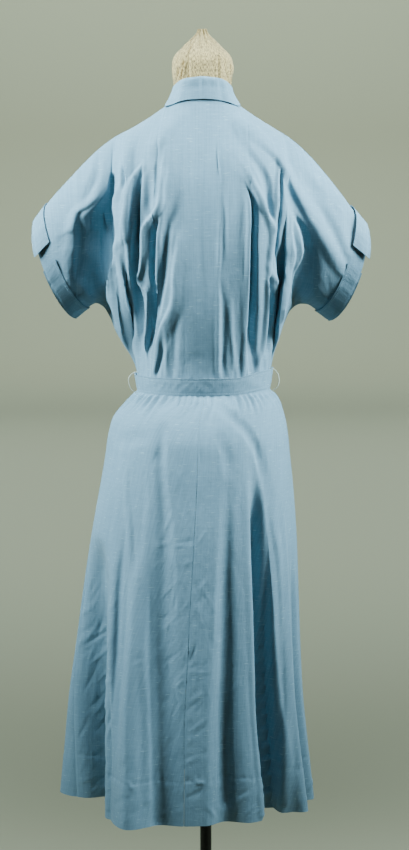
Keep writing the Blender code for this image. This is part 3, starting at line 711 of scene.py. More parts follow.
OVER_ARM = {
    Side.LEFT: (Outline(0.057, 1.475), Outline(0.083, 1.457), Outline(0.108, 1.4425),
                Outline(0.136, 1.428), Outline(0.160, 1.410), Outline(0.183, 1.388),
                Outline(0.205, 1.364), Outline(0.228, 1.339), Outline(0.252, 1.307)),
    Side.RIGHT: (Outline(0.057, 1.475), Outline(0.083, 1.457), Outline(0.108, 1.442),
                 Outline(0.137, 1.4235), Outline(0.160, 1.403), Outline(0.185, 1.375),
                 Outline(0.209, 1.344), Outline(0.226, 1.320), Outline(0.240, 1.302)),
}
UNDER_ARM = {
    Side.LEFT: (Outline(0.1015, 1.053), Outline(0.1025, 1.068), Outline(0.111, 1.090),
                Outline(0.124, 1.112), Outline(0.136, 1.134), Outline(0.146, 1.157),
                Outline(0.155, 1.170), Outline(0.165, 1.175), Outline(0.177, 1.169),
                Outline(0.196, 1.154)),
    Side.RIGHT: (Outline(0.1015, 1.053), Outline(0.1025, 1.068), Outline(0.107, 1.090),
                 Outline(0.115, 1.118), Outline(0.125, 1.146), Outline(0.135, 1.164),
                 Outline(0.147, 1.172), Outline(0.159, 1.172), Outline(0.174, 1.163),
                 Outline(0.193, 1.149)),
}
BACK_RIBS = {
    Side.LEFT: (Rib(0.00, 0.00, 0.045, 0.000), Rib(0.35, 0.40, 0.055, 0.000),
                Rib(0.75, 0.52, 0.067, 0.002), Rib(1.00, 0.63, 0.072, 0.006),
                Rib(1.09, 0.72, 0.074, 0.008), Rib(1.16, 0.81, 0.077, 0.011),
                Rib(1.26, 1.00, 0.096, 0.010), Rib(1.32, 1.26, 0.067, 0.012),
                Rib(1.37, 1.62, 0.063, 0.000), Rib(1.46, 1.74, 0.064, 0.000),
                Rib(1.57, 1.82, 0.062, 0.004), Rib(1.76, 1.91, 0.054, 0.014),
                Rib(2.00, 2.00, 0.045, 0.019)),
    Side.RIGHT: (Rib(0.00, 0.00, 0.045, 0.000), Rib(0.32, 0.22, 0.050, 0.000),
                 Rib(0.65, 0.36, 0.060, 0.004), Rib(1.00, 0.50, 0.072, 0.010),
                 Rib(1.11, 0.66, 0.075, 0.014), Rib(1.18, 0.80, 0.078, 0.015),
                 Rib(1.28, 1.00, 0.086, 0.012), Rib(1.36, 1.62, 0.072, 0.002),
                 Rib(1.50, 1.74, 0.067, 0.004), Rib(1.64, 1.84, 0.061, 0.008),
                 Rib(1.82, 1.93, 0.052, 0.016), Rib(2.00, 2.00, 0.045, 0.024)),
}
FRONT_RIBS = (
    Rib(0.00, 0.00, 0.053, 0.000, 0.000, 0.20), Rib(0.45, 0.22, 0.055, 0.000, 0.002, 0.20),
    Rib(0.80, 0.38, 0.064, 0.000, -0.006, 0.30), Rib(1.00, 0.52, 0.078, 0.004, 0.004, 0.20),
    Rib(1.13, 0.68, 0.086, 0.008, -0.012, 0.16), Rib(1.22, 0.84, 0.090, 0.010, 0.005, 0.20),
    Rib(1.29, 1.00, 0.090, 0.010, -0.009, 0.18), Rib(1.35, 1.30, 0.082, 0.008, 0.006, 0.20),
    Rib(1.42, 1.62, 0.072, 0.000, -0.022, 0.12), Rib(1.54, 1.76, 0.066, 0.002, 0.005, 0.20),
    Rib(1.70, 1.86, 0.057, 0.008, -0.008, 0.30), Rib(2.00, 2.00, 0.045, 0.022, 0.000, 0.30),
)

BACK_FOLDS = (
    Fold("left armpit", ((-136, 1377, 2, 1.8, 0), (-136, 1365, 3.5, 1.8, -10),
        (-137, 1347, 5, 1.8, -15), (-137, 1327, 15, 1.8, -19), (-136, 1308, 32, 1.8, -20),
        (-134, 1287, 46, 1.8, -22), (-135, 1267, 50, 1.8, -23), (-138, 1248, 48, 1.8, -23),
        (-144, 1229, 42, 1.8, -22), (-149, 1211, 34, 2, -19), (-152, 1192, 15, 2, -15),
        (-151, 1175, 10, 2, -9), (-148, 1159, 4, 2, -5))),
    Fold("left sleeve notch", ((-187, 1317, 2, 4, 0), (-187, 1302, 2.4, 5, -1.2),
        (-188, 1278, 3, 6, -1.2), (-189, 1254, 4, 7, -1.2), (-192, 1223, 6, 8, -1),
        (-194, 1195, 8, 8, 0))),
    Fold("left notch crest", ((-151, 1368, 4, 6, 0), (-157, 1350, 6, 6, 2),
        (-163, 1337, 7, 4, 3), (-175, 1326, 7, 3, 3.5), (-187, 1319, 6, 2.5, 3.5),
        (-193, 1308, 8, 3, 4.5), (-195, 1287, 10, 3, 4.5), (-197, 1263, 11, 3.5, 4),
        (-199, 1238, 11, 4, 3), (-203, 1211, 10, 5, 2), (-203, 1189, 8, 6, 0))),
    Fold("left outer tuck", ((-122, 1429, 1.8, 1.8, -1.5), (-124, 1410, 2, 1.8, -3),
        (-123, 1391, 2.5, 1.8, -4.5), (-119, 1372, 3.2, 1.5, -7), (-119, 1360, 3.2, 1.8, -6),
        (-122, 1349, 3, 3, 0))),
    Fold("left tuck one edge", ((-119, 1357, 3, 3, 0), (-126, 1346, 3, 3, -3),
        (-127, 1330, 3, 3.5, -4), (-125, 1315, 3, 4, -2), (-123, 1300, 3, 3, 0))),
    Fold("left hook one", ((-85, 1398, 2.5, 3.5, 0), (-91, 1386, 2.5, 5, 2.5),
        (-99, 1377, 2.5, 5, 3.5), (-108, 1366, 2.5, 5, 5), (-113, 1349, 3, 5, 5),
        (-115, 1329, 3.5, 5, 5), (-118, 1306, 4.5, 5, 5), (-120, 1283, 5, 6, 4),
        (-127, 1265, 5, 6, 4.5), (-126, 1245, 6, 5, 5), (-120, 1227, 7, 3, 6.5),
        (-116, 1208, 8, 2.4, 8), (-114, 1186, 8, 2.4, 9), (-113, 1164, 8, 2.5, 9.5),
        (-111, 1142, 7, 2.5, 9), (-108, 1119, 6, 3, 7), (-104, 1101, 5, 3, 4),
        (-99, 1083, 4, 4, 2), (-95, 1067, 3, 3, 1))),
    Fold("left crest over armpit", ((-124, 1357, 2.5, 3, 0), (-131, 1341, 2, 3, 3.5),
        (-133, 1326, 2, 3, 4), (-131, 1308, 2, 3.5, 3.5), (-130, 1289, 2, 4, 3),
        (-131, 1269, 2, 4, 3), (-136, 1248, 2, 5, 3), (-143, 1226, 2, 6, 3),
        (-145, 1204, 2.5, 6, 3), (-141, 1183, 3, 6, 3), (-135, 1160, 3, 6, 2),
        (-128, 1136, 3, 5, 0))),
    Fold("left inner valley", ((-89, 1395, 1.6, 1.5, 0), (-91, 1380, 2.4, 1.5, -2),
        (-93, 1364, 4, 1.5, -4), (-95, 1348, 5, 1.5, -6), (-96, 1328, 4, 1.5, -9),
        (-97, 1306, 4, 1.5, -13), (-98, 1284, 4.5, 1.6, -15), (-99, 1253, 6, 1.8, -16),
        (-101, 1227, 6.5, 1.8, -17), (-99, 1206, 7, 1.8, -17), (-94, 1188, 8.5, 1.8, -16),
        (-92, 1166, 8.5, 1.8, -16), (-90, 1141, 7.5, 1.6, -15), (-92, 1119, 6.5, 1.6, -13),
        (-91, 1100, 6, 1.5, -10), (-87, 1082, 5, 1.5, -6), (-84, 1064, 3, 1.5, -3))),
    Fold("left centre valley", ((-68, 1312, 2.5, 2, 0), (-71, 1297, 3, 2, -6),
        (-73, 1279, 4, 1.6, -11), (-74, 1258, 4, 1.6, -15), (-75, 1231, 4, 1.6, -16),
        (-73, 1204, 3.6, 1.6, -17), (-73, 1179, 3.6, 1.6, -18), (-74, 1155, 4, 1.5, -18),
        (-77, 1131, 4.5, 1.5, -17), (-82, 1110, 5, 1.5, -13), (-83, 1088, 5, 1.5, -9),
        (-82, 1065, 4, 1.5, -5))),
    Fold("left hook two", ((-56, 1386, 3, 4, 0), (-61, 1369, 3, 4.5, 3), (-63, 1351, 3, 4.5, 4),
        (-65, 1332, 2.8, 5, 5.5), (-72, 1317, 2.6, 5, 6.5), (-81, 1306, 2.6, 6, 7),
        (-88, 1297, 2, 7, 7), (-91, 1287, 1.8, 8, 6), (-91, 1267, 2, 7, 5),
        (-92, 1249, 2, 5.5, 5), (-94, 1231, 2, 3.5, 5), (-98, 1217, 1.8, 3.5, 6),
        (-92, 1206, 2, 3, 5.5), (-84, 1197, 2, 3, 5.5), (-84, 1179, 1.8, 3, 5),
        (-85, 1151, 1.6, 3, 5), (-87, 1122, 1.6, 3, 5), (-89, 1103, 1.6, 3, 4),
        (-88, 1085, 1.5, 3, 3))),
    Fold("left waist hook", ((-33, 1295, 4, 5, 0), (-37, 1269, 4, 7, 2.5), (-41, 1244, 4, 8, 4),
        (-44, 1221, 4, 8, 5), (-44, 1200, 4, 8, 5), (-47, 1180, 3, 9, 5.5),
        (-53, 1165, 2.6, 10, 6), (-60, 1151, 2.2, 11, 6), (-66, 1135, 1.8, 10, 5),
        (-71, 1114, 1.8, 7, 4.5), (-72, 1096, 1.8, 4.5, 4.5), (-75, 1074, 1.8, 3, 4))),
    Fold("left soft valley", ((-34, 1351, 6, 8, 0), (-43, 1329, 6, 8, -2), (-51, 1303, 7, 6, -4),
        (-55, 1277, 7, 5, -4), (-57, 1250, 6, 4.5, -4), (-60, 1223, 5, 4, -4.5),
        (-64, 1195, 4, 3.5, -4), (-67, 1174, 3.5, 3, -3.5), (-70, 1160, 3, 3, -1.5))),
    Fold("left pale strip", ((-69, 1303, 2, 3, 0), (-68, 1283, 2, 4, 3), (-69, 1259, 2, 4, 3),
        (-70, 1231, 2, 3.5, 3), (-71, 1204, 2, 3, 2), (-73, 1181, 2, 3, 1))),
    Fold("between pleats", ((-76, 1386, 5, 5, 0), (-79, 1366, 5, 6, -3), (-80, 1343, 5, 5, -4),
        (-81, 1326, 5, 4, -4), (-79, 1312, 4, 3, -1))),
    Fold("left shoulder shade", ((-55, 1425, 4, 4, 0), (-62, 1405, 4, 4, -2),
        (-66, 1385, 4, 3, -3), (-67, 1366, 4, 1.8, -4), (-69, 1348, 3, 1.8, -3),
        (-75, 1330, 3, 3, 0))),
    Fold("left flank dip", ((-138, 1242, 4, 6, 0), (-135, 1223, 5, 8, -2),
        (-134, 1205, 6, 9, -3), (-131, 1187, 7, 10, -4), (-129, 1165, 7, 10, -4),
        (-126, 1143, 6, 9, -4), (-122, 1120, 5, 7, -2), (-117, 1100, 4, 5, 0))),
    Fold("left flank edge", ((-152, 1182, 2, 2, 0), (-146, 1169, 3, 2.5, -6),
        (-142, 1157, 3, 2.5, -5), (-137, 1141, 2, 2, 0))),
    Fold("waist line one", ((-61, 1134, 2, 1.6, 0), (-63, 1113, 2, 1.6, -2),
        (-65, 1093, 2, 1.6, -2.5), (-70, 1074, 2, 1.6, -3), (-71, 1063, 2, 1.5, -2))),
    Fold("waist line two", ((-57, 1148, 2, 2.5, 0), (-56, 1117, 2, 2.5, 2),
        (-57, 1090, 2, 2.5, 2.4), (-58, 1066, 2, 2.5, 2))),
    Fold("waist soft valley three", ((-40, 1168, 4, 4, 0), (-43, 1133, 4, 4, -2.2),
        (-45, 1094, 4, 3.5, -2.5), (-45, 1066, 3, 3, -2))),
    Fold("waist thin four", ((-26, 1187, 2, 2, 0), (-26, 1149, 2, 2, -1.6),
        (-27, 1110, 2, 2, -1.6), (-28, 1070, 2, 2, -1.2))),
    Fold("waist thin five", ((-19, 1133, 2, 2, 0), (-21, 1101, 2, 2, 1.8), (-21, 1067, 2, 2, 1.6))),
    Fold("right crest", ((29, 1478, 8, 8, 0), (41, 1469, 8, 9, 2), (60, 1448, 8, 9, 4),
        (83, 1428, 7, 9, 4.5), (104, 1409, 5, 9, 5), (120, 1388, 4, 8, 6), (130, 1367, 4, 8, 7),
        (142, 1343, 5, 9, 7), (157, 1317, 6, 10, 6), (170, 1295, 7, 10, 6),
        (184, 1272, 8, 10, 6), (198, 1247, 9, 9, 5), (211, 1224, 8, 8, 2))),
    Fold("right band valley", ((43, 1448, 5, 5, 0), (53, 1430, 6, 6, -2), (66, 1409, 6, 5, -3),
        (79, 1392, 6, 5, -4), (90, 1375, 6, 5, -5.5), (96, 1359, 6, 5, -6),
        (98, 1343, 5, 4, -6.5), (100, 1328, 4.5, 3, -6.5), (101, 1314, 3, 2.5, -4),
        (103, 1304, 3, 3, 0))),
    Fold("right shoulder ridge", ((33, 1424, 7, 6, 0), (49, 1399, 7, 6, 2.5),
        (66, 1377, 6, 5, 4), (77, 1356, 6, 4, 5), (86, 1338, 6, 4, 6), (92, 1323, 5, 3.5, 6),
        (98, 1310, 5, 3, 5), (104, 1293, 5, 3, 4.5), (104, 1275, 4, 3, 4), (101, 1256, 4, 3, 4),
        (99, 1236, 4, 3, 2))),
    Fold("right cliff edge", ((116, 1387, 3, 1.6, 0), (113, 1370, 3, 1.5, 2.5),
        (111, 1350, 3, 1.5, 3.5), (110, 1329, 3, 1.5, 4), (108, 1308, 3, 1.5, 3),
        (107, 1290, 3, 1.5, 2))),
    Fold("right upper cliff", ((118, 1382, 1.4, 2.5, 0), (117, 1369, 1.4, 3, -7),
        (117, 1350, 1.4, 3.5, -10), (117, 1330, 1.4, 4.5, -14), (115, 1310, 1.5, 5.5, -16),
        (114, 1289, 1.6, 6.5, -17), (112, 1267, 2, 7, -16), (114, 1248, 4, 7, -13),
        (117, 1229, 5, 5, -9), (118, 1213, 4, 4, -4), (118, 1201, 3, 3, 0))),
    Fold("right under ridge", ((126, 1334, 3, 4, 0), (128, 1313, 3, 5, 3.5),
        (128, 1291, 4, 4, 4.5), (130, 1270, 5, 4, 5), (133, 1256, 6, 3.5, 5),
        (133, 1241, 6, 3, 4.5), (130, 1226, 5, 2.5, 4.5), (128, 1209, 5, 2.2, 6),
        (125, 1189, 5, 2.2, 5), (121, 1167, 4, 2.2, 4), (116, 1145, 4, 2.2, 3),
        (111, 1122, 3, 2.2, 2), (105, 1099, 3, 2.2, 0))),
    Fold("right crossing", ((97, 1242, 4, 4, 0), (100, 1230, 4, 4, 2.5), (106, 1219, 4, 4, 3),
        (114, 1212, 4, 4, 2), (120, 1212, 3, 3, 0))),
    Fold("right light triangle", ((132, 1316, 5, 4, 0), (138, 1298, 10, 4, 2.5),
        (144, 1280, 14, 4, 4), (148, 1263, 18, 3.5, 5), (148, 1250, 18, 3.5, 4.5),
        (143, 1237, 13, 3.5, 3), (137, 1225, 8, 3, 0))),
    Fold("right notch valley", ((137, 1313, 2, 2, 0), (142, 1302, 2, 4, -5),
        (148, 1290, 2, 6, -6.5), (152, 1274, 2, 9, -8.5), (154, 1256, 2, 13, -10),
        (150, 1240, 2, 18, -11), (143, 1225, 2.2, 21, -12), (139, 1206, 2.2, 20, -12),
        (138, 1187, 2.4, 15, -9), (141, 1168, 3, 9, -4))),
    Fold("right lower cliff", ((99, 1221, 2, 3, 0), (100, 1207, 1.6, 4, -7),
        (100, 1190, 1.6, 5, -12), (99, 1168, 1.6, 6, -15), (98, 1146, 1.6, 6, -15),
        (97, 1124, 1.6, 5, -12), (96, 1105, 1.6, 3.5, -8), (91, 1090, 2, 3, -4),
        (87, 1072, 2, 2.5, -3))),
    Fold("right lower edge", ((99, 1233, 3, 1.8, 0), (97, 1212, 3, 1.5, 4),
        (97, 1184, 3, 1.5, 5), (95, 1156, 3, 1.5, 5), (93, 1131, 3, 1.5, 5),
        (90, 1109, 3, 1.8, 4), (84, 1091, 3, 1.8, 4), (83, 1069, 3, 2, 2))),
    Fold("right centre valley", ((64, 1371, 3, 3, 0), (68, 1353, 2.5, 4, -2.5),
        (73, 1337, 1.8, 5, -5), (74, 1318, 1.5, 5, -10), (74, 1297, 1.5, 5, -15),
        (73, 1273, 1.5, 5, -17), (73, 1246, 1.5, 5.5, -18), (72, 1216, 1.5, 6, -19),
        (71, 1185, 1.5, 7, -19), (70, 1155, 1.6, 8, -18), (69, 1127, 2, 8, -16),
        (70, 1105, 2.2, 7, -14), (71, 1083, 2.4, 6, -12), (71, 1063, 2.4, 5, -9))),
    Fold("right valley edge", ((64, 1350, 4, 2, 0), (69, 1331, 4, 1.5, 3),
        (70, 1306, 4, 1.4, 3.5), (69, 1276, 4, 1.4, 3.5), (68, 1239, 4, 1.4, 3.5),
        (67, 1201, 6, 1.4, 3.5), (65, 1163, 7, 1.5, 3.4), (63, 1132, 7, 1.6, 3.4),
        (63, 1105, 7, 1.6, 3.4), (63, 1071, 6, 1.6, 3))),
    Fold("centre crease", ((21, 1427, 1.2, 1.2, 0), (21, 1407, 1.3, 1.3, -1.2),
        (23, 1383, 1.3, 1.3, -1.4), (25, 1368, 1.3, 1.3, -0.8), (25, 1359, 1.2, 1.2, 0))),
    Fold("centre crease lip", ((24, 1415, 2, 2, 0), (26, 1392, 2, 2, 0.9), (28, 1368, 2, 2, 0.9),
        (28, 1356, 2, 2, 0))),
    Fold("centre step", ((28, 1356, 1.6, 4, 0), (29, 1336, 1.6, 4, -1.2), (30, 1312, 1.6, 5, -2),
        (30, 1282, 1.6, 5, -2.2), (29, 1253, 1.6, 5, -1.2), (29, 1229, 2, 4, 0))),
    Fold("centre dark line", ((28, 1214, 2.2, 3, 0), (30, 1186, 2.8, 3.4, -1.4),
        (31, 1153, 2.8, 3.4, -2.1), (30, 1117, 2.8, 3.4, -2.3), (29, 1085, 2.4, 3, -2.4),
        (29, 1066, 2.4, 3, -2))),
    Fold("centre light line", ((40, 1201, 2.6, 3, 0), (41, 1168, 2.6, 3, 1.5),
        (42, 1132, 2.8, 3, 2), (45, 1094, 2.6, 2.4, 2.4), (44, 1066, 2.4, 2.4, 1.6))),
    Fold("centre light two", ((24, 1299, 3, 1.6, 1), (24, 1262, 3, 2, 1.6), (23, 1217, 3, 2, 1),
        (23, 1171, 4, 2.4, 2), (22, 1118, 4, 2.4, 3), (22, 1067, 4, 2.4, 2))),
    Fold("waist right dark", ((55, 1146, 2, 2, 0), (56, 1116, 2, 2, -1.1),
        (53, 1085, 2, 2, -1.2), (53, 1065, 2, 2, -1))),
    Fold("left yoke ridge", ((-25, 1472, 8, 8, 0), (-40, 1457, 9, 9, 2.5),
        (-58, 1436, 10, 8, 3.5), (-73, 1416, 9, 7, 3), (-82, 1398, 7, 7, 0))),
    Fold("right sleeve hollow", ((90, 1457, 20, 20, 0), (116, 1424, 26, 26, -2.5),
        (147, 1379, 30, 30, -4.5), (174, 1339, 30, 30, -5), (198, 1300, 26, 26, -3),
        (215, 1273, 20, 20, 0))),
    Fold("centre hollow", ((-4, 1410, 40, 40, 0), (-4, 1373, 50, 50, -1.2),
        (-4, 1328, 55, 55, -3.2), (-5, 1284, 55, 55, -4.6), (-5, 1247, 55, 55, -5),
        (-5, 1202, 50, 50, -4), (-5, 1156, 45, 45, -2), (-5, 1110, 40, 40, 0))),
    Fold("centre grey", ((7, 1336, 9, 9, 0), (7, 1277, 10, 10, -1.4), (5, 1202, 9, 9, -1.4),
        (4, 1141, 8, 8, 0))),
    Fold("sleeve right soft valley", ((147, 1386, 7, 7, 0), (168, 1354, 8, 8, -2.5),
        (184, 1326, 8, 8, -3), (198, 1300, 8, 8, -3), (210, 1273, 8, 8, -2), (220, 1252, 7, 7, 0))),
    Fold("sleeve right soft ridge", ((174, 1348, 6, 6, 0), (189, 1323, 6, 6, 2.5),
        (203, 1297, 6, 6, 3), (213, 1270, 6, 6, 2.5), (220, 1248, 6, 6, 0))),
    Fold("sleeve right end", ((216, 1332, 7, 7, 0), (223, 1307, 7, 7, -3),
        (227, 1280, 7, 7, -3.5), (226, 1250, 6, 6, 0))),
    Fold("sleeve left soft", ((-157, 1410, 5, 5, 0), (-159, 1383, 5, 5, -2),
        (-165, 1362, 6, 5, -3), (-174, 1344, 5, 4, -2), (-180, 1332, 4, 4, 0))),
)

LEFT_RIM_TROUGH = Fold("left rim trough", ((-160, 818, 8, 6, 0), (-163, 781, 14, 8, -8),
    (-164, 733, 20, 10, -13), (-161, 677, 25, 12, -15), (-158, 621, 28, 13, -15),
    (-152, 576, 32, 14, -17), (-148, 510, 32, 14, -18), (-149, 440, 26, 14, -17),
    (-150, 387, 22, 14, -15)))
SKIRT_CREASES = (
    Fold("left rim edge", ((-131, 814, 6, 6, 0), (-138, 776, 6, 6, 2), (-141, 730, 5, 6, 3),
        (-143, 670, 4, 7, 4), (-142, 610, 3, 7, 4), (-139, 549, 2.5, 7, 4),
        (-137, 489, 2.4, 7, 4), (-140, 427, 2.4, 7, 4), (-140, 391, 2.4, 7, 4))),
    Fold("left inner ridge", ((-122, 949, 4, 4, 0), (-119, 913, 4, 4, 1.5),
        (-116, 868, 4, 4, 2.5), (-112, 817, 4, 4, 2.5), (-111, 765, 4, 4, 2),
        (-113, 713, 4, 4, 2), (-117, 660, 4, 5, 1.8), (-122, 586, 5, 6, 1.5),
        (-124, 498, 5, 6, 1))),
    Fold("left inner trough", ((-141, 924, 5, 5, 0), (-127, 874, 4, 4, -0.6),
        (-125, 815, 5, 5, -1), (-127, 747, 5, 5, -1), (-129, 657, 5, 5, -0.7),
        (-132, 581, 5, 5, 0))),
    Fold("left long trough", ((-66, 976, 8, 8, 0), (-66, 939, 7, 7, -2.5),
        (-64, 902, 7, 7, -3.5), (-61, 858, 9, 9, -4.5), (-61, 813, 10, 11, -5.5),
        (-63, 768, 11, 14, -6), (-66, 715, 11, 17, -7), (-68, 662, 10, 19, -7.5),
        (-67, 602, 10, 20, -8), (-66, 534, 10, 20, -8), (-67, 466, 10, 20, -8),
        (-69, 401, 10, 20, -8))),
    Fold("left long trough lip", ((-82, 916, 4, 4, 0), (-85, 856, 5, 5, 1.5),
        (-88, 797, 6, 6, 2), (-90, 737, 6, 5, 2.5), (-93, 662, 6, 5, 3), (-89, 586, 6, 4, 3),
        (-87, 511, 6, 4, 3), (-87, 436, 6, 4, 2.5))),
    Fold("right thin trough", ((39, 954, 7, 7, 0), (36, 902, 8, 8, -1.2), (33, 865, 8, 8, -1.6),
        (31, 819, 9, 8, -1.6), (29, 766, 9, 9, -1.8), (32, 705, 9, 9, -2.2), (34, 644, 9, 9, -3),
        (33, 583, 9, 9, -3.5), (31, 506, 9, 9, -4), (32, 428, 9, 9, -4))),
    Fold("right big trough", ((80, 977, 5, 7, 0), (84, 940, 4, 7, -4), (92, 905, 5, 8, -2.5),
        (97, 867, 5, 8, -2.5), (97, 821, 5, 9, -3), (93, 759, 4, 10, -4), (88, 696, 3, 10, -6),
        (86, 617, 2.4, 11, -8), (89, 537, 2, 10, -9), (95, 449, 2, 6, -9), (98, 387, 2, 6, -8))),
    Fold("right rim ridge", ((65, 930, 5, 4, 0), (64, 870, 5, 4, 1.5), (65, 810, 5, 4, 2),
        (68, 749, 5, 3, 3), (71, 662, 5, 2.4, 4), (75, 583, 5, 2, 5), (80, 504, 5, 2, 5),
        (85, 431, 5, 2, 5), (86, 404, 5, 2, 4))),
    Fold("right outer ridge", ((103, 881, 4, 4, 0), (107, 835, 3, 5, 2), (113, 788, 3, 6, 3),
        (117, 726, 3, 6, 3), (121, 648, 4, 6, 3), (124, 570, 4, 7, 3), (122, 493, 6, 9, 8),
        (121, 429, 7, 9, 10), (121, 389, 7, 9, 10))),
    Fold("belt diagonal", ((3, 1044, 5, 5, 0), (15, 1033, 6, 6, -2), (33, 1017, 6, 6, -3),
        (48, 1003, 6, 6, -3.5), (65, 987, 6, 6, -4), (78, 965, 6, 5, -4), (83, 946, 5, 4, -2))),
    Fold("left hip hollow", ((-63, 1004, 5, 5, 0), (-63, 992, 7, 7, -2), (-65, 979, 7, 7, -3),
        (-65, 959, 6, 6, -3), (-65, 938, 5, 5, 0))),
    Fold("hip shade left", ((-141, 968, 6, 6, 0), (-122, 970, 8, 8, -1.5), (-100, 976, 8, 8, -2),
        (-81, 981, 6, 6, 0))),
    Fold("middle hip hollow", ((-9, 1019, 5, 5, 0), (-7, 992, 7, 7, -2), (-6, 948, 7, 7, -2),
        (-6, 903, 6, 6, 0))),
    Fold("right hip hollow", ((15, 992, 6, 6, 0), (27, 974, 7, 7, -2), (36, 947, 7, 7, -2.5),
        (37, 917, 6, 6, 0))),
    Fold("seam kink", ((-12, 678, 3, 3, 0), (-18, 660, 3, 3, -1.2), (-23, 648, 3, 3, -1.4),
        (-29, 636, 3, 3, 0))),
    Fold("seam kink ridge", ((-22, 678, 3, 3, 0), (-27, 663, 3, 3, 1.2), (-32, 648, 3, 3, 0))),
    Fold("hem pucker one", ((-20, 466, 2, 2, 0), (-13, 463, 2, 2, 1.5), (-4, 462, 2, 2, 1.5),
        (4, 464, 2, 2, 0))),
    Fold("hem pucker two", ((-120, 468, 2, 2, 0), (-112, 460, 2.2, 2.2, 2), (-108, 450, 2, 2, 0))),
    Fold("hem pucker three", ((1, 426, 2, 2, 0), (8, 416, 2.2, 2.2, 1.6), (17, 401, 2, 2, 0))),
)

BACK_PATCHES = (
    Patch(-60, 75, 1080, 1400, 46, 92, 8, 30, 2.2, 0.55),
    Patch(-100, 100, 1070, 1110, 30, 90, 8, 12, 1.8, 0.8),
    Patch(-200, -120, 1200, 1420, 26, 60, 30, 18, 3.0, 0.8),
    Patch(120, 215, 1180, 1420, 26, 120, 30, 18, 3.0, 0.8),
)
FRONT_PATCHES = (
    Patch(-90, 90, 1070, 1400, 60, 90, 12, 28, 2.4, 0.6),
    Patch(-210, -110, 1190, 1420, 24, 60, 30, 18, 3.0, 0.8),
    Patch(110, 210, 1190, 1420, 24, 120, 30, 18, 3.0, 0.8),
)


def superellipse(turn: Array, squareness: Array | float) -> tuple[Array, Array]:
    """Places across and forward on a superellipse of size 1; a squareness of 2 is a circle."""
    power = 2 / squareness
    return tuple(np.sign(wave) * np.abs(wave) ** power for wave in (np.cos(turn), np.sin(turn)))


def off_form(points: Array, gap: float) -> Array:
    """Move points that would lie in the dress form out to its surface.

    With f the superellipse value of a point in the form's ring at its height, the point is moved
    away from the axis until f is that of a ring larger by the gap.

    Args:
        points: Points of the cloth.
        gap: How far off the form they stay.

    Returns:
        The points.
    """
    z = points[..., 2]
    half_width, back, front, squareness = read_table(FORM_RINGS[::-1], z)
    depth = np.where(points[..., 1] > 0, front, back) + gap
    value = (np.abs(points[..., 0] / (half_width + gap)) ** squareness
             + np.abs(points[..., 1] / depth) ** squareness) ** (1 / squareness)
    # Between 1 and 1.06 the surface is eased over, so that no sharp edge shows
    wanted = np.where(value < 1.06, 1 + 0.06 * np.maximum((value - 0.94) / 0.12, 0) ** 2, value)
    scale = np.where(z > FORM_RINGS[-1].height, wanted / np.maximum(value, 1e-6), 1.0)
    return points * np.stack((scale, scale, np.ones(z.shape)), axis=-1)


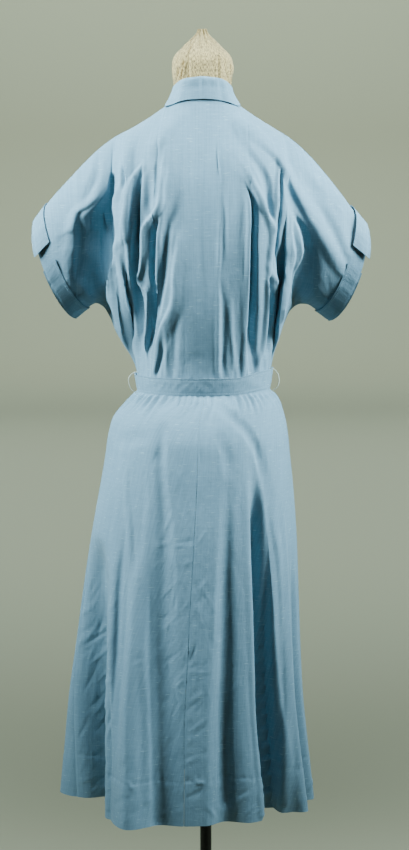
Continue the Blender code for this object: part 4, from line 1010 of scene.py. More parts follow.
@dataclass(frozen=True)
class BodiceShape:
    """The bodice with its kimono sleeves, as ribs from the neck and over-arm line downward."""

    neck_back_z: float = 1.498
    neck_side_z: float = 1.475
    neck_front_z: float = 1.436
    waist_z: float = 1.053
    neck_half_width: float = 0.057
    neck_back_depth: float = 0.054
    neck_front_depth: float = 0.059
    waist_half_width: float = 0.1015
    waist_half_depth: float = 0.0835

    @staticmethod
    def ribs(side: Side, front: bool) -> tuple[Rib, ...]:
        """The table of ribs of one half."""
        return FRONT_RIBS if front else BACK_RIBS[side]

    @staticmethod
    def on_outline(rows: tuple[Outline, ...], share: Array) -> tuple[Array, Array]:
        """Distance out and height at a share of an outline's length."""
        out, height = np.array(rows).T
        length = np.concatenate(([0.0], np.cumsum(np.hypot(np.diff(out), np.diff(height)))))
        length /= length[-1]
        return smooth_read(length, out, share), smooth_read(length, height, share)

    def top_line(self, side: Side, front: bool, top: Array) -> tuple[Array, Array, Array]:
        """Distance out, depth and height of the ribs' upper ends, on an ellipse round the neck."""
        angle = np.clip(top, 0, 1) * math.pi / 2
        centre_z = self.neck_front_z if front else self.neck_back_z
        neck_depth = self.neck_front_depth if front else self.neck_back_depth
        out, height = self.on_outline(OVER_ARM[side], np.clip(top - 1, 0, 1))
        on_neck = top < 1
        x = np.where(on_neck, self.neck_half_width * np.sin(angle), out)
        depth = np.where(on_neck, neck_depth * np.cos(angle), 0.0)
        neck_z = self.neck_side_z + (centre_z - self.neck_side_z) * np.cos(angle) ** 2
        return x, depth, np.where(on_neck, neck_z, height)

    def low_line(self, side: Side, low: Array) -> tuple[Array, Array, Array]:
        """Distance out, depth and height of the ribs' lower ends, on an ellipse round the waist."""
        angle = np.clip(low, 0, 1) * math.pi / 2
        out, height = self.on_outline(UNDER_ARM[side], np.clip(low - 1, 0, 1))
        on_waist = low < 1
        x = np.where(on_waist, self.waist_half_width * np.sin(angle), out)
        depth = np.where(on_waist, self.waist_half_depth * np.cos(angle), 0.0)
        return x, depth, np.where(on_waist, self.waist_z, height)

    def point(self, side: Side, front: bool, rib: Array, along: Array) -> Array:
        """Point of the bodice on a rib, at a share of the rib's length.

        A rib falls from the top line to the low line. Over the shoulder it leaves the top line
        square to it, as a quarter turn, and where it ends on a side seam it comes in square to
        that too, as a half turn. It stands off the straight line between its ends by its bulge,
        and bends outward by its bow, both as the sine of the share.

        Args:
            side: Side of the dress.
            front: True for the front.
            rib: Number of the rib, 0 at the centre, with fractions between two.
            along: Share of the rib's length from its top.

        Returns:
            The points.
        """
        top, low, bulge, bow, fold, start = read_numbered(self.ribs(side, front), rib)
        top_x, top_depth, top_z = self.top_line(side, front, top)
        low_x, low_depth, low_z = self.low_line(side, low)
        over_shoulder = ease(top)
        on_side = ease((low - 1) / 0.35)
        quarter = 1 - np.cos(math.pi * along / 2)
        half = (1 - np.cos(math.pi * along)) / 2
        curved = (1 - on_side) * quarter + on_side * half
        drop = (1 - over_shoulder) * along + over_shoulder * curved
        reach = (1 - over_shoulder) * along + over_shoulder * np.sin(math.pi * along / 2)
        swell = np.sin(math.pi * along) * (1 - (1 - on_side) * along**9)
        kept_at_waist = 0.1 * (1 - ease((low - 0.8) / 0.2))
        fading = 1 - (1 - kept_at_waist) * ease((along - 0.72) / 0.28)
        folded = ease((along - start) / 0.22) * fading
        depth = top_depth * (1 - reach) + low_depth * reach + bulge * swell + fold * folded
        depth = depth + SEAM_GAP / 2
        x = top_x + (low_x - top_x) * drop + bow * swell
        z = top_z + (low_z - top_z) * drop
        return np.stack((side.value * x, depth if front else -depth, z), axis=-1)

    def normal(self, side: Side, front: bool, rib: Array, along: Array) -> Array:
        """Outward unit normal, from small steps across and along the ribs."""
        last = len(self.ribs(side, front)) - 1
        across = (self.point(side, front, np.minimum(rib + 0.02, last), along)
                  - self.point(side, front, np.maximum(rib - 0.02, 0), along))
        down = (self.point(side, front, rib, np.minimum(along + 0.004, 1))
                - self.point(side, front, rib, np.maximum(along - 0.004, 0)))
        return unit(np.cross(across, down)) * side.value * (1 if front else -1)

    def even_ribs(self, side: Side, front: bool, count: int) -> Array:
        """Rib numbers that lie evenly apart, measured along the middles of the ribs."""
        last = len(self.ribs(side, front)) - 1
        fine = np.linspace(0, last, 400)
        length = running_length(self.point(side, front, fine, np.full(400, 0.45)))
        return np.interp(np.linspace(0, length[-1], count), length, fine)


@dataclass
class Bodice:
    """The back in one piece with the backs of the sleeves, and two fronts."""

    shape: BodiceShape
    cotton: bpy.types.Material
    back_columns: int = 146
    front_columns: int = 84
    rows: int = 160
    front_rows: int = 120
    back_seed: int = 7
    front_seed: int = 11

    def flat_places(self, points: Array) -> Array:
        """Flat place of each point: how far round from the centre, and how high."""
        steps = np.hypot(*np.moveaxis(np.diff(points[..., :2], axis=0), -1, 0))
        around = np.concatenate((np.zeros((1, points.shape[1])), np.cumsum(steps, axis=0)))
        return np.stack((around, points[..., 2]), axis=-1)

    def column_ribs(self, side: Side, front: bool) -> Array:
        """Rib numbers of the columns, which lie closer together where the folds are steep."""
        if front:
            return self.shape.even_ribs(side, True, self.front_columns)
        even = self.shape.even_ribs(side, False, 300)
        rib, along = np.meshgrid(even, np.linspace(0.1, 1, 90), indexing="ij")
        plain = self.shape.point(side, False, rib, along)
        lift = fold_height(BACK_FOLDS, plain[..., 0], plain[..., 2])
        steep = np.mean(np.minimum(np.abs(np.gradient(lift, axis=0)), 0.002), axis=1)
        weight = 1 + 3.0 * np.convolve(steep / steep.mean(), np.ones(9) / 9, mode="same")
        length = np.concatenate(([0.0], np.cumsum((weight[1:] + weight[:-1]) / 2)))
        return np.interp(np.linspace(0, length[-1], self.back_columns), length, even)

    def half(self, side: Side, front: bool) -> tuple[Array, Array, Array]:
        """Outer points, normals and flat places of one half.

        The plain surface is lifted along its own normal by the folds. The lift fades to nothing
        at the seams, and to a third where the belt holds the waist.

        Args:
            side: Side of the dress.
            front: True for the front.

        Returns:
            The three grids, from the centre outward.
        """
        shares = np.linspace(0, 1, self.front_rows if front else self.rows)
        rib, along = np.meshgrid(self.column_ribs(side, front), shares, indexing="ij")
        plain = self.shape.point(side, front, rib, along)
        normal = self.shape.normal(side, front, rib, along)
        low = read_numbered(self.shape.ribs(side, front), rib)[1]
        x, z = plain[..., 0], plain[..., 2]
        if front:
            lift = crumpled(FRONT_PATCHES, self.front_seed, x, z)
        else:
            lift = crumpled(BACK_PATCHES, self.back_seed, x, z) + fold_height(BACK_FOLDS, x, z)
        lift = lift + self.waist_gathers(low, z, side)
        at_top = 0.15 + 0.85 * ease(along / 0.05)
        at_seam = 1 - ease((low - 0.97) / 0.05) * ease((along - 0.94) / 0.06)
        at_waist = 1 - 0.65 * ease((along - 0.955) / 0.03) * (1 - ease((low - 0.9) / 0.15))
        lift = lift * at_top * at_seam * at_waist
        if front:
            lift = lift * ease((np.abs(x) - 0.017) / 0.012)
        at_cuff = 1 - 0.9 * ease((rib - (rib.max() - 0.6)) / 0.6)
        outside = off_form(plain + normal * (lift * at_cuff)[..., None], FORM_GAP)
        return outside, normal, self.flat_places(plain)

    def waist_gathers(self, low: Array, z: Array, side: Side) -> Array:
        """Lift of the small gathers above the belt, uneven in width and length."""
        turn = low * math.pi / 2
        phase = 0.7 if side is Side.LEFT else 2.1
        wave = (np.cos(46 * turn + phase + 1.8 * np.sin(7 * turn + phase))
                + 0.5 * np.cos(27 * turn + 2 * phase))
        length = 0.030 + 0.018 * np.sin(11 * turn + phase)
        fade = ease(1 - (z - 1.066) / length) * (low < 1.02)
        return 0.0011 * wave * fade

    def rim_normals(self, outside: Array, normal: Array, side: Side, front: bool) -> Array:
        """Directions from the outer points to the inner ones, cut square at the seams."""
        inward = -facing(grid_normals(outside), normal)
        top, low = read_numbered(self.shape.ribs(side, front), self.column_ribs(side, front))[:2]
        inward[0, :, 0] = 0.0
        inward[top > 0.999, 0, 1] = 0.0
        inward[low > 0.999, -1, 1] = 0.0
        inward[low < 1.001, -1, 2] = 0.0
        return unit(inward)

    def build(self) -> list[bpy.types.Object]:
        """Build the three panels."""
        halves = {}
        for side in Side:
            outside, normal, flat = self.half(side, False)
            halves[side] = (outside, self.rim_normals(outside, normal, side, False),
                            flat * (side.value, 1))
        outside, inward, flat = (np.concatenate((left[::-1], right[1:])) for left, right in zip(
            halves[Side.LEFT], halves[Side.RIGHT]))
        back = cloth_wall("bodice_back", outside, outside + CLOTH * inward, self.cotton, flat)
        made = [back]
        for side in Side:
            outside, normal, flat = self.half(side, True)
            outside[0, :, 0] = side.value * SEAM_GAP / 2
            inward = self.rim_normals(outside, normal, side, True)
            front = cloth_wall(f"bodice_front_{side.name.lower()}", outside,
                               outside + CLOTH * inward, self.cotton, flat * (side.value, 1))
            made.append(front)
        return made


# The skirt -----------------------------------------------------------------------------------


class Ring(NamedTuple):
    """An ellipse of the skirt: its height, its half sizes, and how far right its centre lies."""

    height: float
    half_width: float
    half_depth: float
    centre: float


class HangingFold(NamedTuple):
    """A fold that hangs down the skirt.

    Its angle from the centre back in degrees at the top and at the hem, its half width in
    degrees, its depth at the hem, less than 0 for a crest, and the height where it begins.
    """

    top_angle: float
    hem_angle: float
    half_width: float
    depth: float
    start: float


SKIRT_RINGS = (
    Ring(0.395, 0.2035, 0.1700, -0.033), Ring(0.470, 0.1945, 0.1660, -0.032),
    Ring(0.560, 0.1845, 0.1600, -0.031), Ring(0.650, 0.1750, 0.1540, -0.026),
    Ring(0.740, 0.1670, 0.1480, -0.021), Ring(0.820, 0.1590, 0.1430, -0.016),
    Ring(0.890, 0.1500, 0.1360, -0.012), Ring(0.940, 0.1430, 0.1310, -0.010),
    Ring(0.975, 0.1385, 0.1250, -0.009), Ring(1.003, 0.1310, 0.1130, -0.007),
    Ring(1.022, 0.1190, 0.1010, -0.002), Ring(1.033, 0.1090, 0.0910, 0.0),
    Ring(1.039, 0.1018, 0.0838, 0.0), Ring(1.0527, 0.1015, 0.0835, 0.0),
)
SKIRT_FOLDS = (
    HangingFold(-66, -67, 37, 0.104, 0.84), HangingFold(-30, -22, 11, -0.032, 0.86),
    HangingFold(-44, -34, 5, 0.006, 0.93),
    HangingFold(18, 19, 10, 0.018, 0.92), HangingFold(27, 31, 7, -0.004, 0.90),
    HangingFold(36, 47, 12, 0.098, 0.955), HangingFold(60, 61, 7, -0.014, 0.90),
    HangingFold(70, 76, 8, 0.030, 0.82), HangingFold(96, 104, 9, 0.030, 0.90),
    HangingFold(122, 127, 10, 0.042, 0.94), HangingFold(152, 151, 9, 0.030, 0.90),
    HangingFold(-122, -127, 11, 0.044, 0.94), HangingFold(-153, -150, 9, 0.032, 0.90),
)
BACK_SKIRT_PATCHES = (
    Patch(-200, -140, 470, 740, 44, 55, 30, 16, 2.6, 1.2),
    Patch(-70, 10, 560, 860, 60, 60, 60, 13, 2.4, 0.8),
    Patch(-200, 170, 400, 470, 80, 60, 40, 12, 2.4, 1.0),
    Patch(-150, 160, 470, 1000, 70, 88, 25, 30, 3.0, 0.5),
    Patch(-130, 110, 480, 700, 60, 45, 30, 12, 2.4, 0.7),
)
FRONT_SKIRT_PATCHES = (
    Patch(-200, 170, 400, 470, 60, 60, 40, 12, 2.4, 0.9),
    Patch(-150, 160, 470, 1000, 60, 88, 25, 30, 3.0, 0.5),
)


@dataclass(frozen=True)
class SkirtShape:
    """Four gores, gathered into the waist, that flare and hang in folds to a deep hem."""

    top_z: float = 1.0527
    hem_z: float = 0.395
    stitch_z: float = 0.463

    def point(self, angle: Array, height: Array) -> Array:
        """Point of the skirt without its gathers.

        It lies on the ellipse of its height. Each hanging fold moves it inward by
        depth * grown^0.9 * cos^2, where grown runs from 0 where the fold begins to 1 at the hem.

        Args:
            angle: Degrees from the centre back, towards the right side.
            height: Height.

        Returns:
            The points.
        """
        angle, height = np.broadcast_arrays(np.asarray(angle, float), np.asarray(height, float))
        half_width, half_depth, centre = read_table(SKIRT_RINGS, height)
        turn = np.radians(angle)
        outward = unit(np.stack((np.sin(turn) / half_width, -np.cos(turn) / half_depth), axis=-1))
        inward = np.zeros(angle.shape)
        for fold in SKIRT_FOLDS:
            grown = np.clip((fold.start - height) / (fold.start - self.hem_z), 0, 1)
            middle = fold.top_angle + (fold.hem_angle - fold.top_angle) * grown
            half_angle = fold.half_width * (0.5 + 0.5 * grown)
            apart = (angle - middle + 180) % 360 - 180
            trough = np.cos(math.pi / 2 * np.clip(apart / half_angle, -1, 1)) ** 2
            inward = inward + fold.depth * grown**0.9 * ease(grown / 0.2) * trough
        x = centre + half_width * np.sin(turn) - outward[..., 0] * inward
        y = -half_depth * np.cos(turn) - outward[..., 1] * inward
        return np.stack((x, y, height), axis=-1)

    def normal(self, angle: Array, height: Array) -> Array:
        """Outward unit normal, from small steps around and up."""
        around = self.point(angle + 0.5, height) - self.point(angle - 0.5, height)
        rise = (self.point(angle, np.minimum(height + 0.004, self.top_z))
                - self.point(angle, np.maximum(height - 0.004, self.hem_z)))
        return unit(np.cross(around, rise))

    def gathers(self, angle: Array, height: Array) -> Array:
        """Lift of the gathers below the belt: two drifting waves of uneven length."""
        turn = np.radians(angle)
        drift = 0.9 * np.sin(3 * turn + 0.4) + 0.6 * np.sin(7 * turn + 1.3)
        wave = np.cos(56 * turn + 3 * drift) + 0.6 * np.cos(34 * turn - 2 * drift)
        length = 0.026 + 0.012 * np.sin(9 * turn + 2.0) + 0.008 * np.sin(17 * turn)
        below = ease((1.043 - height) / 0.010) * (1 - ease((1.034 - height) / length))
        from_front = 180 - np.abs((angle + 180) % 360 - 180)
        return 0.0014 * wave * below * ease((from_front - 10) / 5)

    def hem(self, x: Array, z: Array) -> Array:
        """Lift of the hem: a stitched line pulled in and puckered, and the double cloth below."""
        above = z - self.stitch_z - 0.0012 * np.sin(x * 95) - 0.0007 * np.sin(x * 260 + 1)
        line = -0.0006 * np.exp(-((above / 0.0016) ** 2))
        pucker = 0.0004 * np.sin(x * 700 + 2 * np.sin(x * 90)) * np.exp(-((above / 0.007) ** 2))
        return line + pucker + 0.0003 * ease(-above / 0.004)


@dataclass
class Skirt:
    """The four gores."""

    shape: SkirtShape
    cotton: bpy.types.Material
    back_columns: int = 150
    front_columns: int = 96
    back_rows: int = 230
    front_rows: int = 130
    seed: int = 23
    rim_angle: float = -50.0
    rim_z: float = 0.80

    def grid(self, first: float, columns: int, rows: int) -> tuple[Array, Array, Array]:
        """Outer points, directions inward and flat places of the gore that starts at an angle."""
        share = np.linspace(0, 1, rows)
        heights = self.shape.top_z + (self.shape.hem_z - self.shape.top_z) * share
        angle, height = np.meshgrid(np.linspace(first, first + 90, columns), heights, indexing="ij")
        plain = self.shape.point(angle, height)
        normal = self.shape.normal(angle, height)
        x, z = plain[..., 0], plain[..., 2]
        on_back = abs(first + 45) < 90
        lift = self.shape.gathers(angle, height) + self.shape.hem(np.radians(angle) * 0.2, z)
        patches = BACK_SKIRT_PATCHES if on_back else FRONT_SKIRT_PATCHES
        creases = crumpled(patches, self.seed, x, z)
        if on_back:
            # Past the left rim the cloth turns back inward, so what lies on the rim stops there
            past_rim = ease((self.rim_angle - angle) / 8)
            kept = 1 - past_rim * ease((self.rim_z - z) / 0.05)
            creases = (creases + fold_height(SKIRT_CREASES, x, z) * kept
                       + LEFT_RIM_TROUGH.height(x, z) * past_rim)
        lift = lift + creases * ease((1.045 - z) / 0.02)
        from_seam = np.minimum(angle - first, first + 90 - angle) * math.pi / 180 * 0.17
        lift = lift * ease(from_seam / 0.004) - 0.0009 * np.exp(-((from_seam / 0.0016) ** 2))
        outside = off_form(plain + normal * lift[..., None], FORM_GAP)
        around = unit(np.gradient(plain, axis=0) * (1, 1, 0))
        outside[0] += SEAM_GAP / 2 * around[0]
        outside[-1] -= SEAM_GAP / 2 * around[-1]
        inward = -facing(grid_normals(outside), normal)
        inward[:, (0, -1), 2] = 0.0
        steps = np.linalg.norm(np.diff(plain, axis=0), axis=-1)
        across = np.concatenate((np.zeros((1, rows)), np.cumsum(steps, axis=0)))
        return outside, unit(inward), np.stack((across, z), axis=-1)

    def build(self) -> list[bpy.types.Object]:
        """Build the gores."""
        made = []
        back, front = (self.back_columns, self.back_rows), (self.front_columns, self.front_rows)
        for node, first, counts in (("skirt_back_left", -90, back), ("skirt_back_right", 0, back),
                                    ("skirt_front_right", 90, front),
                                    ("skirt_front_left", 180, front)):
            outside, inward, flat = self.grid(first, *counts)
            piece = cloth_wall(node, outside, outside + CLOTH * inward, self.cotton, flat)
            made.append(piece)
        return made


# Collar, cuffs, belt and band -----------------------------------------------------------------


class CollarRow(NamedTuple):
    """A line across the collar at an angle from the centre back.

    The place of its fold, and of its outer edge as a place along the bodice's top line, a share
    of the rib there, and a lift off it.
    """

    angle: float
    fold_out: float
    fold_y: float
    fold_z: float
    edge_top: float
    edge_along: float
    edge_lift: float


COLLAR_ROWS = (
    CollarRow(0, 0.0000, -0.0570, 1.5195, 0.00, 0.030, 0.0038),
    CollarRow(35, 0.0290, -0.0460, 1.5155, 0.38, 0.034, 0.0036),
    CollarRow(70, 0.0430, -0.0190, 1.5050, 0.69, 0.054, 0.0030),
    CollarRow(90, 0.0455, 0.0010, 1.4965, 0.81, 0.066, 0.0030),
    CollarRow(120, 0.0430, 0.0330, 1.4810, 0.88, 0.150, 0.0040),
    CollarRow(150, 0.0270, 0.0560, 1.4640, 0.80, 0.270, 0.0040),
    CollarRow(180, 0.0030, 0.0660, 1.4560, 0.42, 0.230, 0.0040),
)


@dataclass
class Collar:
    """Turn-down collar: a stand, a soft fold and a fall that lies on the bodice."""

    bodice: BodiceShape
    cotton: bpy.types.Material
    columns: int = 181
    rows: int = 44
    fold_radius: float = 0.0028
    thickness: float = 0.0015

    def lines(self) -> Array:
        """Six lines from front to front: sewn edge, three of the fold, mid fall and outer edge."""
        angles = np.linspace(-180, 180, self.columns)
        places, side = np.abs(angles), np.where(angles < 0, -1.0, 1.0)
        fold_out, fold_y, fold_z, edge_top, edge_along, edge_lift = read_table(COLLAR_ROWS, places)
        turn = np.radians(places)
        back = places < 90
        shape = self.bodice
        sewn_depth = np.where(back, shape.neck_back_depth, shape.neck_front_depth)
        centre_z = np.where(back, shape.neck_back_z, shape.neck_front_z)
        sewn = np.stack((side * shape.neck_half_width * np.sin(turn), -sewn_depth * np.cos(turn),
                         shape.neck_side_z + (centre_z - shape.neck_side_z) * np.cos(turn) ** 2
                         + 2 * SEAM_GAP), axis=-1)
        sewn[:, 0] += side * np.where(places > 179, 0.003, 0.0)
        fold = np.stack((side * fold_out, fold_y, fold_z), axis=-1)
        edge = np.empty_like(fold)
        for which in Side:
            for front in (False, True):
                chosen = (side == which.value) & (back != front)
                table = shape.ribs(which, front)
                rib = np.interp(edge_top[chosen], column(table, "top"), np.arange(len(table)))
                lift = edge_lift[chosen, None]
                edge[chosen] = (shape.point(which, front, rib, edge_along[chosen])
                                + lift * shape.normal(which, front, rib, edge_along[chosen]))
        outward = unit((edge - sewn) * (1, 1, 0))
        up = np.array((0.0, 0.0, 1.0))
        radius = self.fold_radius
        middle = 0.5 * (fold + edge) + 0.0012 * outward + 0.0008 * up
        return np.stack((sewn, fold - radius * outward - radius * up, fold - 0.7 * radius * outward,
                         fold + 0.3 * radius * outward, middle, edge), axis=1)

    def build(self) -> list[bpy.types.Object]:
        """Build the collar."""
        lines = self.lines()
        steps = np.linalg.norm(np.diff(lines, axis=1), axis=-1)
        place = np.concatenate(([0.0], np.cumsum(steps.mean(axis=0))))
        at = np.unique(np.concatenate((np.linspace(0, place[-1], self.rows),
                                       np.linspace(place[1], place[3], 12))))
        outside = np.stack([np.stack([smooth_read(place, values, at) for values in line.T], axis=-1)
                            for line in lines])
        normal = grid_normals(outside)
        outward = unit((outside[:, -1] - outside[:, 0]) * (1, 1, 0))
        if np.sum(normal[:, -1] * outward) < 0:
            normal = -normal
        around = running_length(outside[:, -1])
        around -= around[-1] / 2
        fall = ease((at - place[3]) / 0.01)
        waves = (0.0006 * np.sin(around * 160)[:, None] * fall
                 + 0.0004 * np.sin(around * 310 + 1)[:, None] * fall)
        outside = outside + normal * waves[..., None]
        piece = cloth_wall("collar", outside, outside - self.thickness * normal, self.cotton,
                           flat_grid(around, at))
        return [piece]


@dataclass
class Cuffs:
    """Turned-up cuffs, each with a notch at its back whose corners spread."""

    bodice: BodiceShape
    cotton: bpy.types.Material
    thread: bpy.types.Material
    width: float = 0.026
    overhang: float = 0.0012
    notch: float = 0.46
    notch_half: float = 0.052
    flare: float = 0.005
    columns: int = 150
    rows: int = 22
    thickness: float = 0.0012
    lift_levels: tuple[float, ...] = (0, 0.35, 0.7, 1)
    lifts: tuple[float, ...] = (0.0012, 0.0011, 0.0010, 0.0010)
    lifts_beside_notch: tuple[float, ...] = (0.004, 0.003, 0.0015, 0.0)

    def grid(self, side: Side) -> tuple[Array, Array]:
        """Inner points of a cuff and their normals, from one side of the notch round to the other.

        A place of 0 is the over-arm line; it runs down the back of the sleeve to 1, up its front
        to 2, and down the back again to the notch. From the end of the sleeve the cuff goes back
        along the ribs by its width.

        Args:
            side: Which sleeve.

        Returns:
            The points and the normals.
        """
        ring = np.linspace(self.notch + self.notch_half, 2 + self.notch - self.notch_half,
                           self.columns)
        level = np.linspace(0, 1, self.rows)
        points, normals = np.empty((2, self.columns, self.rows, 3))
        for number, place in enumerate(ring):
            front = 1 < place < 2
            along = 2 - place if front else (place if place <= 1 else place - 2)
            last = len(self.bodice.ribs(side, front)) - 1
            ribs = np.linspace(last, last - 3.0, 60)
            path = self.bodice.point(side, front, ribs, np.full(60, along))
            at = np.interp(level * self.width, running_length(path), ribs)
            share = np.full(self.rows, along)
            point = self.bodice.point(side, front, at, share)
            normal = self.bodice.normal(side, front, at, share)
            beside = float(ease((place - (2 + self.notch - 0.30)) / 0.26))
            lift = (np.interp(level, self.lift_levels, self.lifts)
                    + np.interp(level, self.lift_levels, self.lifts_beside_notch) * beside)
            off_end = unit(path[0] - path[3]) * (self.overhang + self.flare * beside)
            near_end = (1 - level / 0.35).clip(0, 1)
            points[number] = point + normal * lift[:, None] + off_end * near_end[:, None]
            normals[number] = normal
        return points, normals

    def build(self) -> list[bpy.types.Object]:
        """Build both cuffs, with a row of stitching near each edge."""
        made = []
        for side in Side:
            node = f"cuff_{side.name.lower()}"
            inside, normal = self.grid(side)
            normal = facing(grid_normals(inside), normal)
            level = np.linspace(0, self.width, self.rows)
            around = running_length(inside[:, 0])
            drift = around * 90 + 2.5 * np.sin(around * 37)
            waves = (0.0002 * np.sin(drift) + 0.00015 * np.sin(2.3 * drift + 1))[:, None]
            row = 2
            line = 0.0005 * np.exp(-(((level - level[row]) / 0.0012) ** 2))
            outside = inside + normal * (self.thickness + waves - line)[..., None]
            piece = cloth_wall(node, outside, inside, self.cotton, flat_grid(around, level))
            seam = topstitching(node, [(outside[1:-1, k], normal[1:-1, k]) for k in (row, -4)],
                                self.thread)
            made += [piece, seam]
        return made


@dataclass
class Belt:
    """Self belt with stitched edges, its covered buckle, and two thread carriers."""

    bodice: BodiceShape
    cotton: bpy.types.Material
    thread: bpy.types.Material
    loop_thread: bpy.types.Material
    width: float = 0.026
    stand_off: float = 0.0026
    thickness: float = 0.0016
    columns: int = 300
    rows: int = 22
    stitch_share: float = 0.115
    buckle_half_width: float = 0.0148
    buckle_half_height: float = 0.0100
    carrier_radius: float = 0.0005
    carriers: tuple[tuple[str, tuple[tuple[float, float, float], ...]], ...] = (
        ("left", ((-0.0985, -0.020, 1.0700), (-0.108, -0.021, 1.0690), (-0.1155, -0.021, 1.0600),
                  (-0.1125, -0.021, 1.0450), (-0.1020, -0.020, 1.0370))),
        ("right", ((0.0985, -0.020, 1.0760), (0.109, -0.021, 1.0730), (0.1155, -0.021, 1.0620),
                   (0.1140, -0.021, 1.0480), (0.1040, -0.020, 1.0390))),
    )

    def surface(self, angle: Array, share: Array) -> tuple[Array, Array]:
        """Outer points and normals at an angle from the centre back and a share of the width.

        The belt is an ellipse round the waist. It rides up on the right side, and soft creases
        pull across it.
        """
        angle, share = np.broadcast_arrays(angle, share)
        sideways = np.sin(angle)
        to_right = ease((sideways - 0.45) / 0.45)
        height = (self.bodice.waist_z + self.width * (share - 0.5)
                  + to_right * (0.0045 + 0.0035 * share) * ease((np.cos(angle) + 0.6) / 0.5))
        drift = 1.7 * np.sin(5 * angle + 1) + 1.1 * np.sin(11 * angle)
        crease = (0.0003 * np.sin(angle * 17 + 4 * share + drift)
                  + 0.0002 * np.sin(angle * 43 - 9 * share + 2 * drift)
                  + 0.0003 * np.cos(angle * 7 + 3 * share))
        crease = (crease * ease(2 * share) * ease(2 - 2 * share)
                  * ease((math.pi - np.abs(angle)) / 0.3))
        edge = np.minimum(share, 1 - share) * self.width
        crease = crease - 0.0004 * np.exp(-(((edge - 0.003) / 0.0008) ** 2))
        out = self.stand_off + self.thickness + crease + 0.0045 * (share - 0.6)
        normal = unit(np.stack((np.sin(angle) / self.bodice.waist_half_width,
                                -np.cos(angle) / self.bodice.waist_half_depth,
                                np.zeros(angle.shape)), axis=-1))
        point = np.stack(((self.bodice.waist_half_width + out) * np.sin(angle),
                          -(self.bodice.waist_half_depth + out) * np.cos(angle), height), axis=-1)
        return point, normal

    def buckle(self) -> bpy.types.Object:
        """Covered buckle: a rounded rectangular frame with a rounded section.

        The frame's middle line is a superellipse of squareness 5, and its section an ellipse.
        """
        turn = round_circle(96)
        across, up = superellipse(turn, 5)
        line = np.stack((self.buckle_half_width * across, np.zeros(96),
                         self.buckle_half_height * up), axis=-1)
        outward = unit(line)
        section = round_circle(20)
        rings = (line[:, None] + outward[:, None] * (0.0031 * np.cos(section))[None, :, None]
                 + np.array((0, 1.0, 0)) * (0.0019 * np.sin(section))[None, :, None])
        place = np.arange(96 * 20).reshape(96, 20)
        over, after = np.roll(place, -1, axis=0), np.roll(place, -1, axis=1)
        quads = np.stack((place, over, np.roll(over, -1, axis=1), after), axis=-1).reshape(-1, 4)
        flat = flat_grid(turn * 0.0125, section * 0.0025).reshape(-1, 2)
        low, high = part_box("belt_buckle")
        centre = (np.array(low) + np.array(high)) / 2
        piece = make_object("belt_buckle_cover", rings.reshape(-1, 3) + centre, quads, self.cotton,
                            flat)
        return dress_piece(piece, "blue_cotton", "belt_buckle")

    def carrier(self, name: str, path: tuple[tuple[float, float, float], ...]) -> bpy.types.Object:
        """A thread loop that the belt hangs in: a smooth tube through a few places."""
        line = np.stack(read_numbered(path, np.linspace(0, len(path) - 1, 40)), axis=-1)
        return dress_piece(tube(name, line, self.carrier_radius, self.loop_thread), "blue_cotton")

    def build(self) -> list[bpy.types.Object]:
        """Build the belt, its stitching, the buckle and the carriers."""
        end = math.pi - SEAM_GAP / self.bodice.waist_half_width
        angle, share = np.meshgrid(np.linspace(-end, end, self.columns),
                                   np.linspace(0, 1, self.rows), indexing="ij")
        outside, normal = self.surface(angle, share)
        flat = np.stack((angle * 0.095, share * self.width), axis=-1)
        piece = cloth_wall("belt", outside, outside - self.thickness * normal, self.cotton, flat)
        rows = []
        for edge in (self.stitch_share, 1 - self.stitch_share):
            line, up = self.surface(np.linspace(-end, end, 500), np.full(500, edge))
            rows.append((line + 0.0001 * up, up))
        seam = topstitching("belt", rows, self.thread)
        loops = [self.carrier(f"belt_carrier_{side}", path) for side, path in self.carriers]
        return [piece, seam, *loops, self.buckle()]


